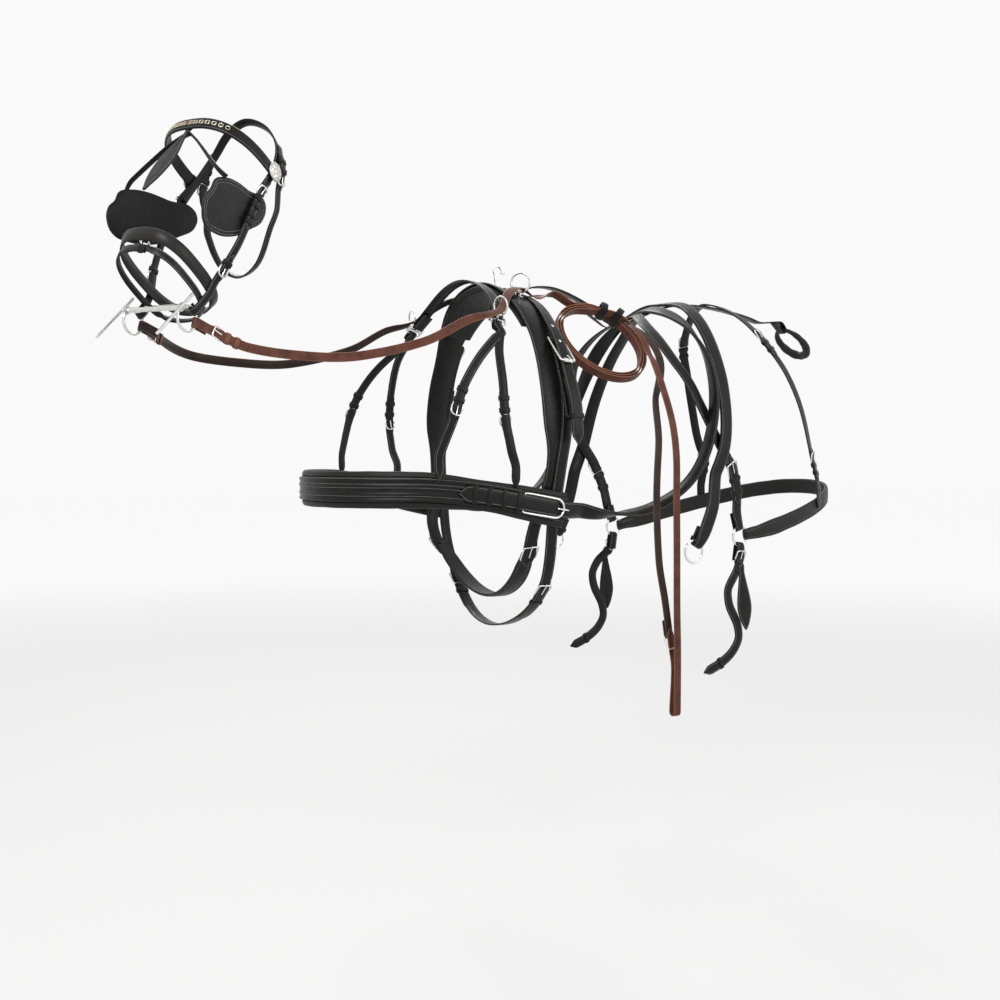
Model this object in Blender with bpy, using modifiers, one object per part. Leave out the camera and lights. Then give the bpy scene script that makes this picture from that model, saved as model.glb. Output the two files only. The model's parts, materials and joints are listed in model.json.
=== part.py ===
"""A single driving harness, modelled in the shape it has when worn.

Nothing of the horse is modelled. Its back, barrel and head are only rules for where leather may lie,
so every strap is laid along a route given as shares of the sizes of the horse that it is cut for.
The origin is under the middle of the saddle. The horse faces -Y, and its left side is at +X.
"""

import bisect
import math

import bmesh
import bpy
from mathutils import Matrix, Quaternion, Vector

mm = 0.001

# The horse that the harness is cut for.
chest_reach = 500 * mm
rump_reach = 1000 * mm
barrel_half = 268 * mm
back_depth = 700 * mm
head_length = 570 * mm
head_half = 110 * mm
poll_height = 342 * mm
poll_reach = 680 * mm
head_turn = math.radians(25)
face_slope = math.radians(36)

# The leather and the metal.
leather = 4 * mm
fit = 0.3 * mm
lay_gap = 0.7 * mm
cross_gap = 1.3 * mm
keeper_wall = 2 * mm
keeper_length = 11 * mm
keeper_step = 0.5 * mm
wire = 6 * mm
fine_wire = 4.5 * mm
fold_return = 40 * mm
bridle_return = 14 * mm
fold_radius = wire / 2 + fit
merge_reach = 0.01 * mm
strap_step = 26 * mm
long_step = 38 * mm
tip_length = 22 * mm

# Strap widths.
bridle_width = 19 * mm
brow_width = 28 * mm
nose_width = 27 * mm
rein_width = 21 * mm
rein_thick = 3 * mm
fork_width = 22 * mm
trace_width = 38 * mm
tug_width = 32 * mm
girth_width = 50 * mm
back_strap_width = 30 * mm
loin_width = 30 * mm
hip_width = 24 * mm
holdback_width = 26 * mm

# The breast collar and the breeching.
breast_width = 84 * mm
breast_thick = 15 * mm
layer_width = 52 * mm
layer_thick = 5 * mm
breast_waist = 70 * mm
breast_half = 264 * mm
breast_reach = 458 * mm
breast_start = 30 * mm
breast_tail = 54 * mm
breast_squareness = 2 / 2.2
breast_height = 468 * mm
breast_fall = 44 * mm
breast_slope = 0.17
seat_width = 42 * mm
seat_thick = 11 * mm
seat_half = 268 * mm
seat_reach = 460 * mm
seat_start = 611 * mm
seat_height = 598 * mm
seat_rise = 112 * mm
seat_squareness = 2 / 2.3

# The saddle.
panel_width = 116 * mm
panel_thick = 15 * mm
saddle_width = 112 * mm
skirt_width = 62 * mm
billet_width = 34 * mm
saddle_thick = 5 * mm
terret_radius = 24 * mm
terret_spread = 102 * mm
terret_base = 13 * mm
terret_neck = 9 * mm
hook_height = 58 * mm
hook_radius = 13 * mm

# Buckles, rings and the bit.
trace_buckle_length = 108 * mm
tug_buckle_length = 78 * mm
roller_wall = 2 * mm
ring_radius = 28 * mm
breeching_ring_radius = 25 * mm
neck_ring_radius = 22 * mm
clip_length = 24 * mm
bit_ring_radius = 27 * mm
bit_half = 72 * mm
bit_thick = 13 * mm
rein_buckle_length = 30 * mm

# The bridle.
rosette_radius = 21 * mm
rosette_thick = 7 * mm
blinker_height = 140 * mm
blinker_thick = 5 * mm
chain_width = 11 * mm
chain_thick = 4 * mm
chain_links = 13
drop_length = 210 * mm
drop_thick = 4 * mm
drop_width = 48 * mm
stay_thick = 8 * mm

# Where the horse's outline is at stations from the chest to the rump.
body_length = chest_reach + rump_reach
station_shares = (0.0, 0.10, 0.233, 0.333, 0.48, 0.55, 0.633, 0.70, 0.78, 0.90, 1.0)
half_width_shares = (0.3, 0.78, 0.95, 1.0, 1.06, 1.07, 1.06, 1.04, 1.0, 0.86, 0.5)
back_line_shares = (-0.2, 0.03, 0.035, 0.0, -0.107, -0.107, -0.05, 0.0, 0.015, -0.017, -0.09)
belly_line_shares = (-0.89, -0.94, -0.99, -1.0, -1.0, -1.01, -1.07, -1.14, -1.21, -1.21, -1.0)


def eased(stations, values, at):
    """The value at a station, on a smooth line through a table."""
    at = min(max(at, stations[0]), stations[-1])
    i = max(k for k in range(len(stations) - 1) if stations[k] <= at)
    span = stations[i + 1] - stations[i]

    def slope(k):
        low = max(k - 1, 0)
        high = min(k + 1, len(stations) - 1)
        return (values[high] - values[low]) / (stations[high] - stations[low])

    t = (at - stations[i]) / span
    return (
        (2 * t**3 - 3 * t**2 + 1) * values[i]
        + (t**3 - 2 * t**2 + t) * span * slope(i)
        + (3 * t**2 - 2 * t**3) * values[i + 1]
        + (t**3 - t**2) * span * slope(i + 1)
    )


def body_point(station, girth):
    """A point of the horse's skin: girth runs from 0 on the spine to 1 under the belly, left positive."""
    half = barrel_half * eased(station_shares, half_width_shares, station)
    top = back_depth * eased(station_shares, back_line_shares, station)
    low = back_depth * eased(station_shares, belly_line_shares, station)
    angle = math.pi * girth
    return Vector((
        half * math.sin(angle),
        station * body_length - chest_reach,
        (top + low) / 2 + (top - low) / 2 * math.cos(angle),
    ))


def on_body(station, girth, lift=0.0):
    """A place lifted off the skin, as a point and the way out."""
    probe = 0.01
    ahead = body_point(station + probe, girth) - body_point(station - probe, girth)
    around = body_point(station, girth + probe) - body_point(station, girth - probe)
    out = around.cross(ahead).normalized()
    return body_point(station, girth) + out * lift, out


def in_space(along, across, up, out):
    """A place off the horse: along and up in shares of body length and back depth, across in barrel halves."""
    return (
        Vector((across * barrel_half, along * body_length, up * back_depth)),
        Vector(out).normalized(),
    )


def round_front(share, lift=0.0):
    """A place on the breast line: share runs from 0 in the middle of the chest to 1 at the left end."""
    side = math.copysign(1, share)
    reach = min(abs(share), 1)
    angle = math.pi / 2 * reach
    x = breast_half * math.sin(angle) ** breast_squareness
    y = -breast_start - breast_reach * math.cos(angle) ** breast_squareness
    out = Vector((side * math.sin(angle), -math.cos(angle) * breast_half / breast_reach, 0)).normalized()
    beyond = max(abs(share) - 1, 0)
    z = -breast_height - breast_fall * max(reach - 0.5, 0) ** 2 * 4 - beyond * breast_tail * breast_slope
    point = Vector((side * x, y + beyond * breast_tail, z))
    return point + out * lift, out


def laid_round(line_place, shares, lift):
    """A route along the breast or breeching line at one lift, for shares given on both sides of the middle."""
    return [line_place(share, lift) for share in shares]


def round_rear(share, lift=0.0):
    """A place on the breeching line: share runs from 0 behind the tail to 1 at the left ring."""
    side = math.copysign(1, share)
    angle = math.pi / 2 * abs(share)
    x = seat_half * math.sin(angle) ** seat_squareness
    y = seat_start + seat_reach * math.cos(angle) ** seat_squareness
    out = Vector((side * math.sin(angle), math.cos(angle) * seat_half / seat_reach, 0)).normalized()
    z = -seat_height + seat_rise * math.cos(angle)
    return Vector((side * x, y, z)) + out * lift, out


# The head has its own directions: across to the left, forward out of the forehead, and down the face.
heading = Vector((math.sin(head_turn), -math.cos(head_turn), 0))
up = Vector((0, 0, 1))
head_across = Vector((math.cos(head_turn), math.sin(head_turn), 0))
head_down = -up * math.cos(face_slope) + heading * math.sin(face_slope)
head_out = heading * math.cos(face_slope) + up * math.sin(face_slope)
poll = Vector((0, -poll_reach, poll_height))

# The head's outline at depths from the poll to the lips, in shares of its length and half width.
depth_shares = (0.0, 0.17, 0.35, 0.5, 0.63, 0.75, 0.83, 1.0)
cheek_shares = (0.72, 0.92, 1.0, 0.95, 0.80, 0.70, 0.66, 0.48)
face_shares = (0.16, 0.153, 0.140, 0.15, 0.142, 0.110, 0.098, 0.02)
jaw_shares = (-0.22, -0.29, -0.34, -0.30, -0.27, -0.235, -0.20, -0.15)
head_squareness = 0.75


def head_point(depth, turn):
    """A point of the head's skin: turn runs from 0 on the forehead to 1 under the jaw, left positive."""
    half = head_half * eased(depth_shares, cheek_shares, depth)
    face = head_length * eased(depth_shares, face_shares, depth)
    jaw = head_length * eased(depth_shares, jaw_shares, depth)
    angle = math.pi * turn
    aside = math.copysign(abs(math.sin(angle)) ** head_squareness, math.sin(angle))
    ahead = math.copysign(abs(math.cos(angle)) ** head_squareness, math.cos(angle))
    forward = (face + jaw) / 2 + (face - jaw) / 2 * ahead
    return poll + head_across * half * aside + head_out * forward + head_down * depth * head_length


def on_head(depth, turn, lift=0.0):
    """A place lifted off the skin of the head, as a point and the way out."""
    probe = 0.01
    down = head_point(depth + probe, turn) - head_point(depth - probe, turn)
    around = head_point(depth, turn + probe) - head_point(depth, turn - probe)
    out = down.cross(around).normalized()
    return head_point(depth, turn) + out * lift, out


def by_head(across, forward, depth, out):
    """A place in the head's own directions, in shares of its half width and length."""
    point = (
        poll
        + head_across * across * head_half
        + head_out * forward * head_length
        + head_down * depth * head_length
    )
    way = head_across * out[0] + head_out * out[1] + head_down * out[2]
    return point, way.normalized()


def head_route(rows, sign=1):
    """A route beside the head, on one side of it, from rows of across, forward, depth and way out."""
    return [
        by_head(across * sign, forward, depth, (out[0] * sign, out[1], out[2]))
        for across, forward, depth, out in rows
    ]


def body_route(rows, sign=1, half=0.0, step=strap_step):
    """A route on the horse's skin from rows of station, girth, lift in leather thicknesses and turn.

    The turn is in quarter turns: at 1 the strap stands on its edge, and half is then half its width.
    """
    rows = [(*row, 0.0) if len(row) == 3 else row for row in rows]
    knots = [0.0]
    for a, b in zip(rows, rows[1:]):
        knots.append(knots[-1] + (body_point(*b[:2]) - body_point(*a[:2])).length)
    count = max(int(math.ceil(knots[-1] / step)), 2)
    places = []
    turns = []
    for k in range(count + 1):
        at = knots[-1] * k / count
        station, girth, lift, turn = (eased(knots, [row[c] for row in rows], at) for c in range(4))
        turns.append(math.pi / 2 * turn * sign)
        raised = lift * leather + half * math.sin(abs(turns[-1]))
        places.append(on_body(station, girth * sign, raised))
    turned_places = []
    for k, (point, out) in enumerate(places):
        along = places[min(k + 1, count)][0] - places[max(k - 1, 0)][0]
        turned_places.append((point, Quaternion(along, turns[k]) @ out))
    return turned_places


def both_sides(left, right):
    """One route from the right end to the left end, from two routes that start in the middle."""
    return list(reversed(right))[:-1] + list(left)


def smooth_line(places, closed=False):
    """A dense smooth line through places, with the distance run to each point of it and to each place."""
    count = len(places)
    if closed:
        places = [places[-1], *places, places[0], places[1]]
    knots = [0.0]
    for a, b in zip(places, places[1:]):
        knots.append(knots[-1] + (b[0] - a[0]).length)

    def slope(k, item):
        low = max(k - 1, 0)
        high = min(k + 1, len(places) - 1)
        return (places[high][item] - places[low][item]) / (knots[high] - knots[low])

    first = 1 if closed else 0
    spans = count if closed else count - 1
    fine = 10
    line = []
    for i in range(first, first + spans):
        span = knots[i + 1] - knots[i]
        last = i == first + spans - 1
        for k in range(fine + last):
            t = k / fine
            mix = []
            for item in (0, 1):
                mix.append(
                    (2 * t**3 - 3 * t**2 + 1) * places[i][item]
                    + (t**3 - 2 * t**2 + t) * span * slope(i, item)
                    + (3 * t**2 - 2 * t**3) * places[i + 1][item]
                    + (t**3 - t**2) * span * slope(i + 1, item)
                )
            line.append((mix[0], mix[1].normalized()))
    run = [0.0]
    for a, b in zip(line, line[1:]):
        run.append(run[-1] + (b[0] - a[0]).length)
    marks = [run[k * fine] for k in range(spans + 1)]
    return line, run, marks


def frame_at(line, run, distance):
    """Point, tangent, way across and way out at a distance along a line."""
    distance = min(max(distance, 0.0), run[-1])
    i = min(max(bisect.bisect_right(run, distance) - 1, 0), len(run) - 2)
    share = (distance - run[i]) / (run[i + 1] - run[i])
    point = line[i][0].lerp(line[i + 1][0], share)
    low = max(i - (share < 0.5), 0)
    high = min(i + 1 + (share >= 0.5), len(line) - 1)
    tangent = (line[high][0] - line[low][0]).normalized()
    out = line[i][1].lerp(line[i + 1][1], share)
    out = (out - tangent * out.dot(tangent)).normalized()
    return point, tangent, tangent.cross(out), out


# Sections, as (across, up) in shares of half the width and of the thickness.
flat_section = ((-1, 0), (1, 0), (1, 1), (-1, 1))
pad_section = ((-0.92, 0), (0.92, 0), (1, 0.4), (0.93, 0.72), (0.74, 0.92), (0.64, 0.78), (0.54, 0.95),
               (0, 1), (-0.54, 0.95), (-0.64, 0.78), (-0.74, 0.92), (-0.93, 0.72), (-1, 0.4))
ridge_section = ((-1, 0), (1, 0), (1, 0.55), (0.86, 0.9), (0.7, 0.55), (0.52, 0.6), (0.36, 1), (0.2, 0.62),
                 (-0.2, 0.62), (-0.36, 1), (-0.52, 0.6), (-0.7, 0.55), (-0.86, 0.9), (-1, 0.55))
brow_section = ((-1, 0), (1, 0), (1, 0.5), (0.8, 0.85), (0.5, 1), (-0.5, 1), (-0.8, 0.85), (-1, 0.5))
roll_section = tuple((math.cos(2 * math.pi * k / 8), 0.5 + 0.5 * math.sin(2 * math.pi * k / 8))
                     for k in range(8))
fold_turns = 6


def loft(name, rings, finish, closed=False):
    """One closed body through rings of points, all with the same count."""
    shape = bmesh.new()
    rows = [[shape.verts.new(point) for point in ring_points] for ring_points in rings]
    size = len(rings[0])
    pairs = list(zip(rows, rows[1:] + rows[:1])) if closed else list(zip(rows, rows[1:]))
    for a, b in pairs:
        for k in range(size):
            n = (k + 1) % size
            shape.faces.new((a[k], a[n], b[n], b[k]))
    if not closed:
        shape.faces.new(list(reversed(rows[0])))
        shape.faces.new(rows[-1])
    bmesh.ops.recalc_face_normals(shape, faces=shape.faces)
    mesh = bpy.data.meshes.new(name)
    shape.to_mesh(mesh)
    shape.free()
    mesh.shade_smooth()
    mesh.set_sharp_from_angle(angle=math.radians(32))
    return place(name, mesh, finish)


def place(name, data, finish, matrix=None):
    """Puts a mesh or a curve into the harness, under its name and in its finish."""
    thing = bpy.data.objects.new(name, data)
    harness.objects.link(thing)
    if matrix is not None:
        thing.matrix_world = matrix
    thing.data.materials.clear()
    thing.data.materials.append(finish)
    return thing


def end_frame(places):
    """Point, tangent and way out at the end of a route."""
    point, out = places[-1]
    tangent = (point - places[-2][0]).normalized()
    out = (out - tangent * out.dot(tangent)).normalized()
    return point, tangent, out


def folded(places, radius, back):
    """A route with its end turned round a wire that lies under it, and led back a way below itself."""
    point, tangent, out = end_frame(places)
    middle = point - out * radius
    added = []
    for k in range(1, fold_turns + 1):
        angle = math.pi * k / fold_turns
        way = out * math.cos(angle) + tangent * math.sin(angle)
        added.append((middle + way * radius, way))
    added.append((middle - out * radius - tangent * back, -out))
    return list(places) + added


def fold_middle(places, radius):
    """The middle of the wire that a route's end is folded round, with the tangent and the way out."""
    point, tangent, out = end_frame(places)
    return point - out * radius, tangent, out


def tip_share(distance, length, at_start, at_end):
    """How much of the width a pointed end keeps at a distance along a strap."""
    into = 0.0
    if at_end:
        into = max(into, (distance - length + tip_length) / tip_length)
    if at_start:
        into = max(into, (tip_length - distance) / tip_length)
    return max(1 - into * into, tip_blunt_share)


def end_half(distance, length, full, slim, at_start, at_end):
    """Half the width of a strap that is slimmed where it folds round a ring."""
    share = 1.0
    reach = fold_return + math.pi * fold_radius
    for radius, into in ((at_start, distance), (at_end, length - distance)):
        if radius is not None:
            share = min(share, max(into - reach, 0) / fold_return)
    share = share * share * (3 - 2 * share)
    return slim + (full - slim) * share


tip_blunt_share = 0.22
tip_stops_share = (1, 0.6, 0.25, 0)


def strap(name, places, width, finish, thick=leather, step=strap_step, section=flat_section,
          point_end=False, point_start=False, keepers=(), keeper_size=None, fold=None, fold_start=None,
          back=fold_return, narrow=None, closed=False, swell=None, rise=None):
    """A strap laid along places: its underside follows the route and its thickness goes outward."""
    keeper_long, keeper_high = keeper_size or (keeper_length, keeper_wall)
    places = list(places)
    if fold is not None:
        places = folded(places, fold, back)
    if fold_start is not None:
        places = list(reversed(folded(list(reversed(places)), fold_start, back)))
    line, run, marks = smooth_line(places, closed)
    length = run[-1]
    stops = []
    for a, b in zip(marks, marks[1:]):
        parts = max(int(math.ceil((b - a) / step - 0.25)), 1)
        stops += [(a + (b - a) * k / parts, 0) for k in range(parts)]
    if not closed:
        stops.append((length, 0))
    for share in keepers:
        low = length * share - keeper_long / 2
        high = low + keeper_long
        stops = [s for s in stops if s[1] or not low - keeper_long / 2 < s[0] < high + keeper_long / 2]
        stops += [(low - keeper_step, 0), (low, 1), (high, 1), (high + keeper_step, 0)]
    if point_end:
        stops = [s for s in stops if s[0] < length - tip_length]
        stops += [(length - tip_length * k, 0) for k in tip_stops_share]
    if point_start:
        stops = [s for s in stops if s[0] > tip_length]
        stops += [(tip_length * k, 0) for k in tip_stops_share]
    stops.sort()
    rings = []
    for distance, kept in stops:
        point, _, across, out = frame_at(line, run, distance)
        half = width / 2 * tip_share(distance, length, point_start, point_end)
        if swell is not None:
            half *= swell(distance / length)
        if narrow is not None:
            half = min(half, end_half(distance, length, width / 2, narrow / 2, fold_start, fold))
        half += keeper_high * kept
        high = thick * (rise(distance / length) if rise is not None else 1) + keeper_high * kept
        rings.append([point + across * half * a + out * high * h for a, h in section])
    return loft(name, rings, finish, closed)


def axes_matrix(origin, x_way, z_way):
    """A placing whose local X and Z look along the two given ways."""
    z = z_way.normalized()
    x = (x_way - z * x_way.dot(z)).normalized()
    y = z.cross(x)
    return Matrix.Translation(origin) @ Matrix((x, y, z)).transposed().to_4x4()


def frame_matrix(heel, far, out):
    """A placing whose local X runs from a buckle's heel bar to its far bar, its Z as near to the way out as can be."""
    way = (far - heel).normalized()
    return axes_matrix(heel, way, out - way * out.dot(way))


def wire_shape(name, points, thickness, finish, matrix, closed=False):
    """A bent wire through points in its own plane."""
    curve = bpy.data.curves.new(name, "CURVE")
    curve.dimensions = "3D"
    curve.bevel_depth = thickness / 2
    curve.bevel_resolution = 2
    curve.use_fill_caps = True
    spline = curve.splines.new("POLY")
    spline.points.add(len(points) - 1)
    for spot, point in zip(spline.points, points):
        spot.co = (*point[:3], 1)
        spot.radius = point[3] if len(point) > 3 else 1
    spline.use_cyclic_u = closed
    return place(name, curve, finish, matrix)


def outline_shape(name, points, thickness, finish, matrix, resolution=3):
    """A flat piece with a smooth closed outline, half its thickness to each side of its plane."""
    curve = bpy.data.curves.new(name, "CURVE")
    curve.dimensions = "2D"
    curve.fill_mode = "BOTH"
    curve.extrude = thickness / 2
    curve.resolution_u = resolution
    spline = curve.splines.new("BEZIER")
    spline.bezier_points.add(len(points) - 1)
    for spot, point in zip(spline.bezier_points, points):
        spot.co = (*point, 0)
        spot.handle_left_type = "AUTO"
        spot.handle_right_type = "AUTO"
    spline.use_cyclic_u = True
    return place(name, curve, finish, matrix)


def arc(middle, radius, start, end, count):
    """Points on an arc in a flat plane, the angles in degrees."""
    points = []
    for k in range(count):
        angle = math.radians(start + (end - start) * k / (count - 1))
        points.append((middle[0] + radius * math.cos(angle), middle[1] + radius * math.sin(angle), 0))
    return points


def squared_frame(length, inner, corner):
    """A frame with four round corners: its heel bar on the local Y axis and its far bar at length."""
    half = (inner + wire) / 2
    reach = half - corner
    return (
        arc((length - corner, reach), corner, 90, 0, 4)
        + arc((length - corner, -reach), corner, 0, -90, 4)
        + arc((corner, -reach), corner, -90, -180, 4)
        + arc((corner, reach), corner, 180, 90, 4)
    )


def rounded_frame(length, inner, corner):
    """A frame with a straight heel bar on the local Y axis and a half round far end."""
    half = (inner + wire) / 2
    return (
        arc((length - half, 0), half, 90, -90, 11)
        + arc((corner, -half + corner), corner, -90, -180, 4)
        + arc((corner, half - corner), corner, 180, 90, 4)
    )


def ring(name, middle, plane_out, radius, thickness, finish, seat_way):
    """A round ring, its object placed at the ring's middle."""
    bpy.ops.mesh.primitive_torus_add(
        major_radius=radius, minor_radius=thickness / 2, major_segments=20, minor_segments=6
    )
    made = bpy.context.object
    made.name = name
    for other in list(made.users_collection):
        other.objects.unlink(made)
    harness.objects.link(made)
    made.matrix_world = axes_matrix(middle, seat_way, plane_out)
    made.data.shade_smooth()
    made.data.materials.clear()
    made.data.materials.append(finish)
    return made


def turned(name, profile, finish, matrix, steps=16):
    """A turned piece: a profile of (radius, height) from top to bottom, swept about the local Z axis."""
    mesh = bpy.data.meshes.new(name)
    points = [(radius, 0, height) for radius, height in profile]
    mesh.from_pydata(points, [(k, k + 1) for k in range(len(points) - 1)], [])
    made = place(name, mesh, finish, matrix)
    screw = made.modifiers.new("turn", "SCREW")
    screw.steps = steps
    screw.render_steps = steps
    screw.use_merge_vertices = True
    screw.merge_threshold = merge_reach
    screw.use_smooth_shade = True
    return made


def as_mesh(thing, home):
    """The object made a plain mesh in a collection, its doubles joined, under the same name."""
    graph = bpy.context.evaluated_depsgraph_get()
    mesh = bpy.data.meshes.new_from_object(thing.evaluated_get(graph))
    shape = bmesh.new()
    shape.from_mesh(mesh)
    bmesh.ops.remove_doubles(shape, verts=shape.verts, dist=merge_reach)
    bmesh.ops.recalc_face_normals(shape, faces=shape.faces)
    shape.to_mesh(mesh)
    shape.free()
    name = thing.name
    matrix = thing.matrix_world.copy()
    bpy.data.objects.remove(thing)
    made = bpy.data.objects.new(name, mesh)
    made.matrix_world = matrix
    home.objects.link(made)
    return made


def shaped(base, others, operation):
    """The base piece with others joined to it, or cut out of it, by Booleans."""
    bpy.context.view_layer.update()
    base = as_mesh(base, harness)
    for other in others:
        tool = as_mesh(other, cutters)
        tool.hide_render = True
        tool.display_type = "WIRE"
        step = base.modifiers.new(operation.lower(), "BOOLEAN")
        step.operation = operation
        step.object = tool
    return base


def finish_of(name, colour, rough, metal=0.0):
    """A plain Principled finish."""
    made = bpy.data.materials.new(name)
    made.use_nodes = True
    shader = made.node_tree.nodes["Principled BSDF"]
    shader.inputs["Base Color"].default_value = (*colour, 1)
    shader.inputs["Roughness"].default_value = rough
    shader.inputs["Metallic"].default_value = metal
    return made


def clear_scene():
    """Removes what the scene starts with."""
    for thing in list(bpy.data.objects):
        bpy.data.objects.remove(thing)


def collection(name):
    """A new collection in the scene."""
    made = bpy.data.collections.new(name)
    bpy.context.scene.collection.children.link(made)
    return made


clear_scene()
harness = collection("driving_harness")
cutters = collection("cutters")
black = finish_of("black_leather", (0.022, 0.020, 0.019), 0.42)
padded = finish_of("padded_leather", (0.028, 0.026, 0.025), 0.55)
brown = finish_of("brown_leather", (0.16, 0.055, 0.035), 0.5)
steel = finish_of("polished_steel", (0.75, 0.74, 0.72), 0.16, 1.0)
silver = finish_of("rosette_silver", (0.72, 0.70, 0.66), 0.3, 1.0)
gold = finish_of("chain_gilt", (0.78, 0.66, 0.42), 0.25, 1.0)

sides = (("left", 1), ("right", -1))


def upon(laid, distance, aside, lift):
    """A place to the rear of the middle line of a laid strap, lifted off its underside."""
    point, _, across, out = frame_at(*laid, distance)
    return point + across * (aside if across.y > 0 else -aside) + out * lift, out


def beside(rows, distance, column):
    """A column of rows of distance and more, eased to a distance down the side."""
    return eased([row[0] for row in rows], [row[column] for row in rows], distance)


def both_ways(end, count):
    """Even values from -end to end."""
    return [end * (2 * k / count - 1) for k in range(count + 1)]


def ring_seat(radius, width, thickness=wire):
    """For a strap of a width folded round a ring's wire: the fold's radius, and how far in the ring it lies."""
    sag = radius - math.sqrt(radius**2 - (width / 2) ** 2)
    return (thickness + sag) / 2 + 2 * fit, radius - sag / 2


# The saddle: a padded panel on the horse's back, and a leather top whose skirts run down into girth straps.
# Rows are station, girth and lift in shares of the panel's thickness.
saddle_station = chest_reach / body_length
panel_girth = 0.235
top_lift = panel_thick + lay_gap
saddle_rows = (
    (saddle_station, 0.0, 1.0), (saddle_station, 0.10, 1.0), (0.333, 0.18, 1.0), (0.3325, 0.24, 0.7),
    (0.332, 0.31, 0.16), (0.330, 0.38, 0.06), (0.329, 0.48, 0.06), (0.327, 0.58, 0.06),
    (0.318, 0.65, 0.2), (0.308, 0.70, 1.2), (0.310, 0.752, 1.8), (0.318, 0.80, 1.95),
)
flap_end = 0.60
flap_start = 0.26


def saddle_route():
    rows = [(station, girth, lift * top_lift / leather) for station, girth, lift in saddle_rows]
    return both_sides(body_route(rows), body_route(rows, -1))


saddle_line = smooth_line(saddle_route())[:2]
saddle_middle = saddle_line[1][-1] / 2


def skirt_swell(share):
    """The saddle top is wide on the back, keeps a flap below it and ends in a narrow strap."""
    away = abs(share - 0.5) * 2
    flap_share = skirt_width / saddle_width
    billet_share = billet_width / saddle_width
    top = flap_share + (1 - flap_share) * math.exp(-((away / flap_start) ** 4))
    return billet_share + (top - billet_share) / (1 + math.exp((away - flap_end) / 0.02))


def make_saddle():
    rows = ((saddle_station, 0.0, 0.0), (saddle_station, panel_girth, 0.0))
    strap("saddle_panel", both_sides(body_route(rows), body_route(rows, -1)), panel_width, padded,
          thick=panel_thick, section=pad_section, swell=lambda s: 0.76 + 0.24 * math.sin(math.pi * s),
          rise=lambda s: 1 - 0.6 * abs(2 * s - 1) ** 6)
    strap("saddle_top", saddle_route(), saddle_width, black, thick=saddle_thick, swell=skirt_swell,
          point_end=True, point_start=True)


# The terrets for the reins and the hook for the bearing rein, on the saddle top.
foot_lift = saddle_thick + lay_gap / 2
terret_aside = leather
terret_turns = {"left": math.radians(38), "right": 0.0}


def terret_place(sign):
    """Base, way out of the saddle, leaning way of the ring and middle of the ring of a terret."""
    base, out = upon(saddle_line, saddle_middle + terret_spread * sign, terret_aside, foot_lift)
    way = (up * 0.75 + out * 0.25).normalized()
    return base, out, way, base + way * (terret_neck + terret_radius - wire / 3)


def turned_facing(turn, lean):
    """The way a ring faces that leans one way and is turned from the horse's front."""
    facing = Vector((math.sin(turn), -math.cos(turn), 0))
    return (facing - lean * facing.dot(lean)).normalized()


def make_terrets():
    for side, sign in sides:
        base, out, way, middle = terret_place(sign)
        foot = turned("terret_" + side, (
            (0, terret_neck), (wire * 0.7, terret_neck), (wire * 0.8, terret_neck * 0.55),
            (terret_base, leather / 2), (terret_base, 0), (0, 0),
        ), steel, axes_matrix(base, Vector((0, 1, 0)), out))
        hoop = ring("terret_hoop", middle, turned_facing(terret_turns[side], way), terret_radius, wire, steel, way)
        shaped(foot, [hoop], "UNION")


def make_hook():
    base, out = upon(saddle_line, saddle_middle, 0, foot_lift)
    foot = turned("bearing_hook", (
        (0, leather * 1.5), (wire, leather * 1.5), (terret_base, leather / 2), (terret_base, 0), (0, 0),
    ), steel, axes_matrix(base, Vector((1, 0, 0)), out))
    bow = [(0, 0, leather / 2), (0, 0, hook_height * 0.3)]
    for k in range(9):
        angle = math.radians(-35 + 235 * k / 8)
        bow.append((hook_radius * (math.cos(angle) * 0.9 - 0.5), 0,
                    hook_height - hook_radius + hook_radius * math.sin(angle)))
    lip = bow[-1]
    bow.append((lip[0] - hook_radius * 0.75, 0, lip[2] + hook_radius * 0.1, 0.8))
    hook = wire_shape("hook_bow", bow, wire, steel, axes_matrix(base, Vector((0, -1, 0)), up))
    shaped(foot, [hook], "UNION")


# The backband over the saddle top. Rows are the distance down from the spine in barrel halves, the
# distance to the rear of the saddle's middle line in tug widths, and the rise off it in leathers.
band_rows = ((0.0, 1.19, 0.0), (0.33, 1.2, 0.0), (0.56, 1.13, 0.2), (0.80, 0.97, 1.7), (1.03, 0.97, 4.6),
             (1.29, 1.03, 6.3), (1.45, 1.1, 7.3), (1.6, 1.22, 7.9), (1.92, 1.31, 8.0))
band_rows = tuple((down * barrel_half, aside * tug_width, rise * leather) for down, aside, rise in band_rows)
band_lift = saddle_thick + lay_gap
heel_down = 262 * mm
tug_bottom = 448 * mm
loop_gap = 18 * mm


def band_route():
    end = band_rows[-1][0]
    route = []
    for down in both_ways(end, 2 * int(round(end / strap_step))):
        rise = beside(band_rows, abs(down), 2)
        route.append(upon(saddle_line, saddle_middle + down, beside(band_rows, abs(down), 1), band_lift + rise))
    return route


band_line = smooth_line(band_route())[:2]
band_middle = band_line[1][-1] / 2


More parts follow.
